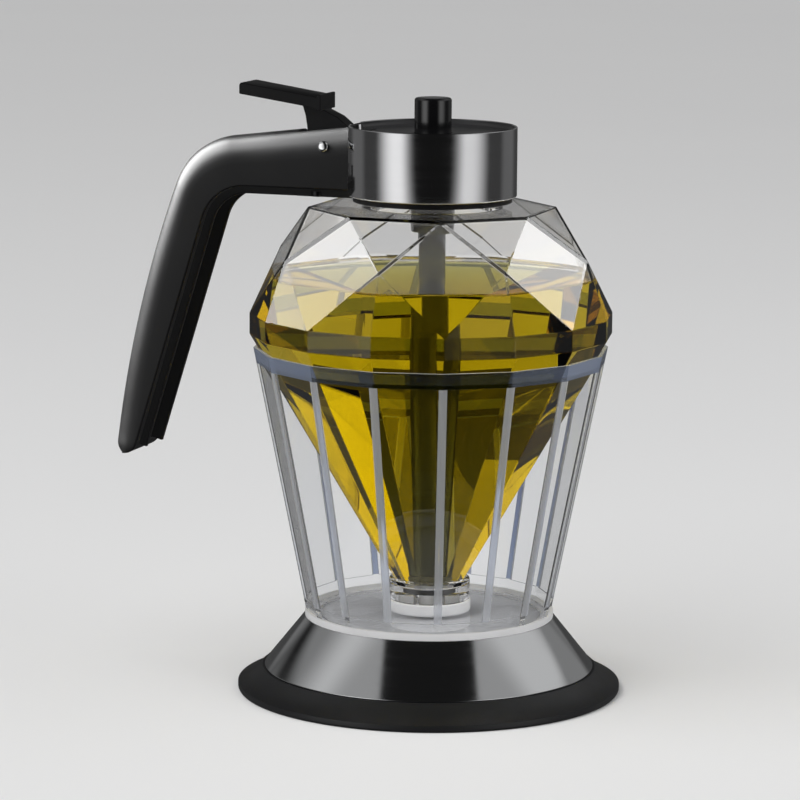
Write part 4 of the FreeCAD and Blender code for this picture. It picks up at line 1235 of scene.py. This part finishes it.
# ------------------------------------------------------------------ handle
@dataclass
class Handle:
    """Channel-shaped handle with a rounded back, its liner and its pivot pin.

    The back and the front are each a line, an arc and a leg in the XZ plane.
    """

    width: float = 15.0
    wall: float = 2.0
    web: float = 2.2
    back_round: float = 6.6
    cover_r: float = 19.45
    arm_top_z: float = 129.6
    arm_fall: float = 0.075
    arm_edge_z: float = 116.4
    back_x: float = -58.46
    back_bend: float = 17.0
    back_angle: float = 20.5
    bow_r: float = 276.0
    front_x: float = -51.4
    front_bend: float = 11.0
    front_angle: float = 17.3
    lip_edge: float = 0.35
    lip_draw: float = 0.3
    tip_z: float = 51.6
    tip_round: float = 2.6
    tip_wall: float = 2.0
    tip_zone: float = 9.5
    liner_out: float = 1.9
    liner_depth: float = 3.4
    liner_wall: float = 1.4
    liner_half: float = 5.4
    liner_end_z: float = 53.9
    tongue_end_x: float = -31.2
    pivot_x: float = -24.1
    pivot_z: float = 126.3
    pin_r: float = 1.0
    pin_head_r: float = 1.25
    pin_head_h: float = 0.6
    pin_dome: float = 0.45
    slot_half: float = 3.1
    slot_end_x: float = -31.8
    slot_depth: float = 6.0

    def back(self, arm: int, turn: int, leg: int) -> Array:
        """Points along the back: falling arm, bend and bowed leg down to the tip.

        Args:
            arm: points along the arm.
            turn: points round the bend.
            leg: points down the leg.

        Returns:
            Array of shape (n, 2).
        """
        drop = self.arm_fall * (self.back_x + self.cover_r - 0.1)
        corner = np.array([self.back_x, self.arm_top_z + drop])
        up = np.array([1.0, self.arm_fall]) / math.hypot(1, self.arm_fall)
        angle = math.radians(self.back_angle)
        down = np.array([-math.sin(angle), -math.cos(angle)])
        bend = arc(corner, up, down, self.back_bend, turn)
        start = np.array([0.0, corner[1] - self.arm_fall * corner[0]])
        line = start + np.linspace(0, 1, arm)[:, None] * (bend[0] - start)
        centre = bend[-1] + np.array([math.cos(angle), -math.sin(angle)]) * self.bow_r
        end_turn = math.pi - math.asin((self.tip_z - centre[1]) / self.bow_r)
        sweep = np.linspace(math.pi - angle, end_turn, leg)
        bow = centre + self.bow_r * np.stack([np.cos(sweep), np.sin(sweep)], axis=1)
        return np.concatenate([line, bend[1:-1], bow])

    def front(self, arm: int, turn: int, leg: int, start_x: float, end_z: float) -> Array:
        """Points along the front: level arm, bend and straight leg.

        Args:
            arm: points along the arm.
            turn: points round the bend.
            leg: points down the leg.
            start_x: where it starts.
            end_z: height where it ends.

        Returns:
            Array of shape (n, 2).
        """
        angle = math.radians(self.front_angle)
        corner = np.array([self.front_x, self.arm_edge_z])
        down = np.array([-math.sin(angle), -math.cos(angle)])
        bend = arc(corner, np.array([1.0, 0.0]), down, self.front_bend, turn)
        start = np.array([start_x, self.arm_edge_z])
        line = start + np.linspace(0, 1, arm)[:, None] * (bend[0] - start)
        reach = down * (bend[-1][1] - end_z) / math.cos(angle)
        tail = bend[-1] + np.linspace(0, 1, leg)[:, None] * reach
        return np.concatenate([line, bend[1:-1], tail])

    def shell(self) -> Piece:
        """Channel carried from the lid to the tip, with the tip's edges drawn in.

        Each row runs from the front line to the back one, with s the depth from the front and
        y the place across. A row d below the start of the tip's rounding R is drawn in by
        R - sqrt(R^2 - d^2).

        Returns:
            The new object.
        """
        arm, turn, leg = 10, 26, 44
        back, front = self.tip_rows(self.back(arm, turn, leg),
                                    self.front(arm, turn, leg, 0.0, self.tip_z))
        below = np.clip(self.tip_round - (back[:, 1:] - self.tip_z), 0, None)
        draw = self.tip_round - np.sqrt(np.clip(self.tip_round**2 - below**2, 0, None))
        solid = back[:, 1:] < self.tip_z + self.tip_wall
        reach = np.linalg.norm(back - front, axis=1)[:, None]
        unit = (back - front) / reach
        back = back - unit * draw
        reach = reach - 2 * draw
        foot = back - unit * reach
        half, inner, corner = self.width / 2, self.width / 2 - self.wall, self.back_round
        quarter = np.linspace(0, math.pi / 2, 9)
        side_y, side_s = -half + corner * (1 - np.cos(quarter)), corner * (1 - np.sin(quarter))
        across = np.concatenate([[-half, -half], side_y, -side_y[::-1], [half, half]])
        rounding = np.concatenate([side_s, side_s[::-1]]) * np.minimum(1.0, (reach - 0.6) / corner)
        none = 0.0 * reach
        floor = np.where(solid, 0.05, reach - self.web)
        y = np.concatenate([across * (1 - 0.35 * draw / half), none + [inner, inner, -inner, -inner]],
                           axis=1)
        y[:, 0] += self.lip_draw
        y[:, len(across) - 1] -= self.lip_draw
        s = np.concatenate([none, none + self.lip_edge, reach - rounding, none + self.lip_edge,
                            none, none, floor, floor, none], axis=1)
        grid = np.stack([foot[:, :1] + unit[:, :1] * s, y, foot[:, 1:] + unit[:, 1:] * s], axis=-1)
        grid[0, :, 0] = -np.sqrt(self.cover_r**2 - grid[0, :, 1] ** 2)
        shift = np.linspace(0, 1, arm)[:, None]
        grid[:arm, :, 0] = grid[0, :, 0] + shift * (grid[arm - 1, :, 0] - grid[0, :, 0])
        top = self.arm_top_z
        return cut_away(
            skin("handle_shell_look", grid),
            block((self.slot_end_x, -10), (top - self.slot_depth, top + 2), self.slot_half),
        )

    def tip_rows(self, back: Array, front: Array) -> tuple:
        """Gives both sides level rows near the tip, closer together where it rounds off.

        Args:
            back: points of the back, from the lid to the tip.
            front: points of the front.

        Returns:
            Both sides with their last stretch replaced by level rows.
        """
        turn = np.linspace(0.35, math.pi / 2, 8)
        level = self.tip_z + np.concatenate([
            [7.5, 6.0, 4.5, 3.4, 2.7, self.tip_wall + HAIR, self.tip_wall - HAIR],
            self.tip_round * (1 - np.sin(turn)),
        ])
        keep = 0.5 * (back + front)[:, 1] > self.tip_z + self.tip_zone
        sides = []
        for side in (back, front):
            lower = side[len(side) // 2:][::-1]
            x = np.interp(level, lower[:, 1], lower[:, 0])
            sides.append(np.concatenate([side[keep], np.stack([x, level], axis=1)]))
        return tuple(sides)

    def liner(self) -> Piece:
        """Channel strip along the front, its two lips outwards.

        Its section is carried along the front line, square to it.

        Returns:
            The new object.
        """
        path = self.front(12, 24, 30, self.tongue_end_x, self.liner_end_z)
        step = np.gradient(path, axis=0)
        along = step / np.linalg.norm(step, axis=1)[:, None]
        into = np.stack([along[:, 1], -along[:, 0]], axis=1)
        into *= np.sign(into[0, 1])
        half, lip, out = self.liner_half, self.liner_wall, -self.liner_out
        deep = out + self.liner_depth
        floor = deep + self.liner_wall
        section = rounded(
            [(-half, out), (-half, floor), (half, floor), (half, out), (half - lip, out),
             (half - lip, deep), (-half + lip, deep), (-half + lip, out)],
            [0.35, 0.2, 0.2, 0.35, 0.35, 0.5, 0.5, 0.35], 3,
        )
        y, s = section[:, 0], section[:, 1]
        x = path[:, :1] + into[:, :1] * s
        z = path[:, 1:] + into[:, 1:] * s
        return skin("handle_liner_look", np.stack([x, np.broadcast_to(y, x.shape), z], axis=-1))

    def pin(self) -> Piece:
        """Pivot pin with a domed head at each end, turned about Y.

        Returns:
            The new object.
        """
        reach, r, head = self.width / 2, self.pin_r, self.pin_head_r
        neck = reach - self.pin_head_h
        dome = np.linspace(0, math.pi / 2, 8)
        end_r = head * np.cos(dome) ** 0.6
        end_y = reach - 0.1 + self.pin_dome * np.sin(dome)
        outline = np.concatenate([
            np.stack([end_r[::-1], -end_y[::-1]], axis=1),
            [(head, -neck), (r, -neck), (r, neck), (head, neck)],
            np.stack([end_r, end_y], axis=1),
        ])
        grid = around(outline[:, :1], outline[:, 1:], full_turn(48))[..., [0, 2, 1]]
        return skin("pivot_pin_look", grid + [self.pivot_x, 0.0, self.pivot_z])

    def build(self) -> None:
        """Makes and seats the handle's pieces."""
        seat(self.shell(), Finish.BLACK, "lid", "handle_shell")
        seat(self.liner(), Finish.BLACK, "lid", "handle_liner")
        seat(self.pin(), Finish.PIN, "lid", "pivot_pin")


@dataclass
class Lever:
    """Thumb lever: pad, stop plate, stem and fork in one moulding with softened edges."""

    edge: float = 0.3

    def moulding(self, solid: Piece) -> Piece:
        """Copy of the solid model's lever, its flat faces joined and its edges rounded.

        Args:
            solid: the lever's node.

        Returns:
            The new object.
        """
        bm = bmesh.new()
        bm.from_mesh(solid.data)
        bmesh.ops.remove_doubles(bm, verts=bm.verts, dist=1e-6)
        bmesh.ops.dissolve_limit(bm, angle_limit=math.radians(0.5), verts=bm.verts, edges=bm.edges)
        mesh = bpy.data.meshes.new("thumb_lever_look")
        bm.to_mesh(mesh)
        bm.free()
        shade(mesh, Shading.CREASED)
        return soften(placed("thumb_lever_look", mesh), self.edge, 3, 30.0)

    def build(self, nodes: dict) -> None:
        """Makes and seats the lever."""
        seat(self.moulding(nodes["thumb_lever"]), Finish.BLACK, "lever", "thumb_lever")


# ------------------------------------------------------------------ what stays as it is
CARRIED_OVER = {
    "base_core": Finish.CORE,
    "base_screws": Finish.SCREW,
    "outlet_seat": Finish.SEAL,
    "lid_gasket": Finish.SEAL,
    "lid_body": Finish.BLACK,
    "guide_bush": Finish.GLOSS,
    "handle_screws": Finish.DARK_SCREW,
}

CLEAR = ("holder_cup_look", "jar_look", "nozzle_look", "honey_look")
GLEAMING = ("handle_shell_look", "handle_liner_look")


# ------------------------------------------------------------------ studio
@dataclass(frozen=True)
class Fade:
    """Change of a light along one direction of the room, from one level to another.

    It is soft at both ends and level beyond them, or a straight line without ends.
    """

    along: str
    start: float
    end: float
    low: float = 0.0
    high: float = 1.0
    straight: bool = False

    def build(self, tree: Tree, ways: dict) -> Socket:
        """Makes the fade's node on one of the directions."""
        settings = {"clamp": False} if self.straight else {"interpolation_type": "SMOOTHSTEP"}
        return ranged(tree, ways[self.along], self.low, self.high, self.start, self.end, **settings)


@dataclass(frozen=True)
class Glow:
    """Light from one part of the room: its strength times all its fades."""

    strength: float
    fades: tuple


# Light that lies on surfaces and shows in them.
MIRRORED = {
    "soft boxes": Glow(1.35, (
        Fade("front", 0.92, 0.69), Fade("front", 0.05, 0.60), Fade("up", 0.40, 0.25),
        Fade("up", -0.42, -0.30), Fade("side", 0.0, 1.0, 1.0, 0.84, straight=True))),
    "roof": Glow(0.7, (
        Fade("up", 0.30, 0.45), Fade("wide", 0.43, 0.47), Fade("front", 0.25, -0.05, 0.6, 1.0),
        Fade("lean", -0.20, -0.65, 1.0, 0.4))),
    "rear wall": Glow(0.18, (
        Fade("front", -0.12, -0.45), Fade("front", -0.70, -0.88, 1.0, 0.35),
        Fade("up", 0.30, 0.16))),
    "strip behind": Glow(0.22, (
        Fade("front", -0.70, -0.90), Fade("up", 0.04, 0.12), Fade("up", 0.34, 0.22))),
    "right rear": Glow(0.28, (
        Fade("side", 0.35, 0.60), Fade("front", -0.35, -0.55), Fade("up", 0.05, 0.14))),
    "flanks": Glow(0.06, (Fade("wide", 0.60, 0.95),)),
}

# Light that comes through jar and holder.
THROUGH = {
    "backdrop": Glow(0.66, (Fade("front", -0.25, -0.45), Fade("up", 0.05, -0.02))),
    "front half": Glow(0.40, (Fade("front", -0.25, 0.0),)),
    "box in front": Glow(1.6, (Fade("front", -0.05, 0.15), Fade("up", 0.15, 0.35))),
    "sides": Glow(0.9, (Fade("wide", 0.70, 0.85),)),
}


def arithmetic(tree: Tree, operation: str, first: Socket, second: Socket | float = 0.0) -> Socket:
    """One arithmetic node on a socket and a socket or number.

    Args:
        tree: the nodes.
        operation: what it does.
        first: the first value.
        second: the second value.

    Returns:
        The result.
    """
    node = add(tree, "ShaderNodeMath", operation=operation)
    tree.links.new(first, node.inputs[0])
    if isinstance(second, (int, float)):
        node.inputs[1].default_value = second
    else:
        tree.links.new(second, node.inputs[1])
    return node.outputs[0]


def room_light(tree: Tree, ways: dict, glows: dict, dim: float) -> Socket:
    """The brightest of some glows from each direction, over a dim rest of the room.

    Args:
        tree: the world's nodes.
        ways: how far a direction goes each way, by name.
        glows: the glows by name.
        dim: light from everywhere.

    Returns:
        The strength from that direction.
    """
    times, brightest = (partial(arithmetic, tree, kind) for kind in ("MULTIPLY", "MAXIMUM"))
    parts = [
        reduce(times, [*(fade.build(tree, ways) for fade in glow.fades), glow.strength])
        for glow in glows.values()
    ]
    return arithmetic(tree, "ADD", reduce(brightest, parts), dim)


@dataclass
class Studio:
    """Camera, pale floor, light from the room and lamps."""

    azimuth: float = 19.1
    pitch: float = 9.433
    roll: float = 0.3926
    place: tuple = (-7.11, -871.22, 212.53)
    lens: float = 171.913
    sensor: float = 36.0
    floor_r: float = 4000.0
    floor_front: float = 420.0
    floor_shade: float = 0.80
    daylight_power: float = 1.75
    horizon: float = 0.86
    dim_mirrored: float = 0.012
    dim_through: float = 0.07
    lamp_aim: float = 0.07
    bounces: int = 28

    def headed(self, place: tuple) -> tuple:
        """Turns a place from the camera's heading into the frame of the solid model."""
        a, (x, y, z) = math.radians(self.azimuth), place
        return (x * math.cos(a) - y * math.sin(a), x * math.sin(a) + y * math.cos(a), z)

    def camera(self) -> None:
        """Camera in front of the dispenser, turned with the handle's plane."""
        data = bpy.data.cameras.new("camera")
        data.lens = self.lens
        data.sensor_width = self.sensor
        camera = placed("camera", data)
        camera.location = self.headed([MM * c for c in self.place])
        turn = Euler((math.radians(90 - self.pitch), 0, math.radians(self.azimuth)), "XYZ")
        roll = Matrix.Rotation(math.radians(self.roll), 3, "Z")
        camera.rotation_euler = (turn.to_matrix() @ roll).to_euler()
        bpy.context.scene.camera = camera

    def floor(self) -> None:
        """Large pale disc whose front edge lies a little before the dispenser."""
        centre = self.headed((0.0, self.floor_r - self.floor_front, -HAIR))
        points = around(self.floor_r, 0.0, full_turn(128)) + centre
        floor = put_mesh("floor", points, [list(range(128))], Shading.FLAT)
        material, tree, shader = principled("floor_look", Roughness=0.75)
        grey = self.floor_shade
        mottled(tree, shader, 3.0, (grey * 0.985, grey * 0.985, grey * 0.99), (grey * 1.015,) * 3)
        floor.data.materials.append(material)
        floor.visible_glossy = False

    def world(self) -> None:
        """Room light for reflections, another for what comes through, and a plain backdrop.

        A direction goes side to the right, front to the camera and up, each from -1 to 1, with
        wide = |side| and lean = front + side / 4.
        """
        world = bpy.data.worlds.new("studio")
        bpy.context.scene.world = world
        world.use_nodes = True
        tree = world.node_tree
        tree.nodes.clear()
        out = add(tree, "ShaderNodeOutputWorld")
        place = add(tree, "ShaderNodeTexCoord")
        ways = {}
        for name, axis in (("side", (1, 0, 0)), ("front", (0, -1, 0)), ("up", (0, 0, 1))):
            node = add(tree, "ShaderNodeVectorMath", operation="DOT_PRODUCT")
            node.inputs[1].default_value = self.headed(axis)
            tree.links.new(place.outputs["Generated"], node.inputs[0])
            ways[name] = node.outputs["Value"]
        ways["wide"] = arithmetic(tree, "ABSOLUTE", ways["side"])
        quarter = arithmetic(tree, "MULTIPLY", ways["side"], 0.25)
        ways["lean"] = arithmetic(tree, "ADD", ways["front"], quarter)
        seen = add(tree, "ShaderNodeLightPath")
        choose = add(tree, "ShaderNodeMix", data_type="FLOAT")
        mirrored = room_light(tree, ways, MIRRORED, self.dim_mirrored)
        through = room_light(tree, ways, THROUGH, self.dim_through)
        room = add(tree, "ShaderNodeBackground")
        plain = add(tree, "ShaderNodeBackground", Strength=self.horizon)
        mix = add(tree, "ShaderNodeMixShader")
        for source, target in (
            (seen.outputs["Is Transmission Ray"], choose.inputs["Factor"]),
            (mirrored, choose.inputs["A"]), (through, choose.inputs["B"]),
            (choose.outputs["Result"], room.inputs["Strength"]),
            (seen.outputs["Is Camera Ray"], mix.inputs[0]), (room.outputs[0], mix.inputs[1]),
            (plain.outputs[0], mix.inputs[2]), (mix.outputs[0], out.inputs["Surface"]),
        ):
            tree.links.new(source, target)

    def lamp(self, name: str, place: tuple, size: float, power: float) -> Piece:
        """Soft square lamp that looks at the jar.

        Args:
            name: the lamp's name.
            place: where it hangs, in metres, in the camera's heading.
            size: its side in metres.
            power: in watts.

        Returns:
            The lamp.
        """
        data = bpy.data.lights.new(name, "AREA")
        data.size = size
        data.energy = power
        lamp = placed(name, data)
        spot = Vector(self.headed(place))
        lamp.location = spot
        aim = Vector((0, 0, self.lamp_aim)) - spot
        lamp.rotation_euler = aim.to_track_quat("-Z", "Y").to_euler()
        lamp.visible_glossy = False
        lamp.visible_transmission = False
        return lamp

    def light_only(self, lamp: Piece, names: tuple) -> None:
        """Keeps a lamp's light to some objects.

        Args:
            lamp: the lamp.
            names: the objects that it lights.
        """
        group = bpy.data.collections.new(lamp.name)
        for name in names:
            group.objects.link(bpy.data.objects[name])
        lamp.light_linking.receiver_collection = group

    def daylight(self) -> None:
        """Wide even light on the floor alone, so that it stays pale out to the far edge."""
        data = bpy.data.lights.new("daylight", "SUN")
        data.energy = self.daylight_power
        data.angle = 1.2
        lamp = placed("daylight", data)
        lamp.rotation_euler = (math.radians(25), math.radians(-20), 0)
        self.light_only(lamp, ("floor",))

    def gleams(self) -> None:
        """Wide lamps that show as highlights on the handle or on the jar alone."""
        for name, place, size, power, pieces in (
            ("handle gleam", (-0.80, 0.30, 0.66), 1.05, 116.0, GLEAMING),
            ("left gleam", (-1.0, 0.15, 0.68), 0.8, 12.0, ("jar_look",)),
            ("right gleam", (1.0, 0.15, 0.68), 0.8, 12.0, ("jar_look",)),
        ):
            lamp = self.lamp(name, place, size, power)
            lamp.visible_glossy = True
            lamp.visible_diffuse = False
            self.light_only(lamp, pieces)

    def build(self) -> None:
        """Makes camera, floor, world and the lamps for the whole scene."""
        scene = bpy.context.scene
        scene.view_settings.view_transform = "Standard"
        scene.cycles.max_bounces = self.bounces
        scene.cycles.transmission_bounces = self.bounces
        self.camera()
        self.floor()
        self.daylight()
        self.world()
        self.lamp("key", (-0.7, -0.5, 1.0), size=0.9, power=5.0)
        self.lamp("fill", (0.8, -0.3, 0.7), size=0.9, power=3.0)


def main() -> None:
    """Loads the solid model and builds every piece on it."""
    logging.basicConfig(level=logging.INFO, format="%(name)s: %(message)s")
    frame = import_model()
    studio = Studio()
    studio.build()
    for node, finish in CARRIED_OVER.items():
        dress(frame["nodes"][node], finish)
    for assembly in (Stand(), Holder(), Jar(), Lid(), Valve(), Handle()):
        assembly.build()
    Lever().build(frame["nodes"])
    for name in CLEAR:
        bpy.data.objects[name].visible_shadow = False
    for name in (*GLEAMING, "thumb_lever_look", "holder_cup_look"):
        bpy.data.objects[name].visible_glossy = False
    studio.gleams()


if __name__ == "__main__":
    main()
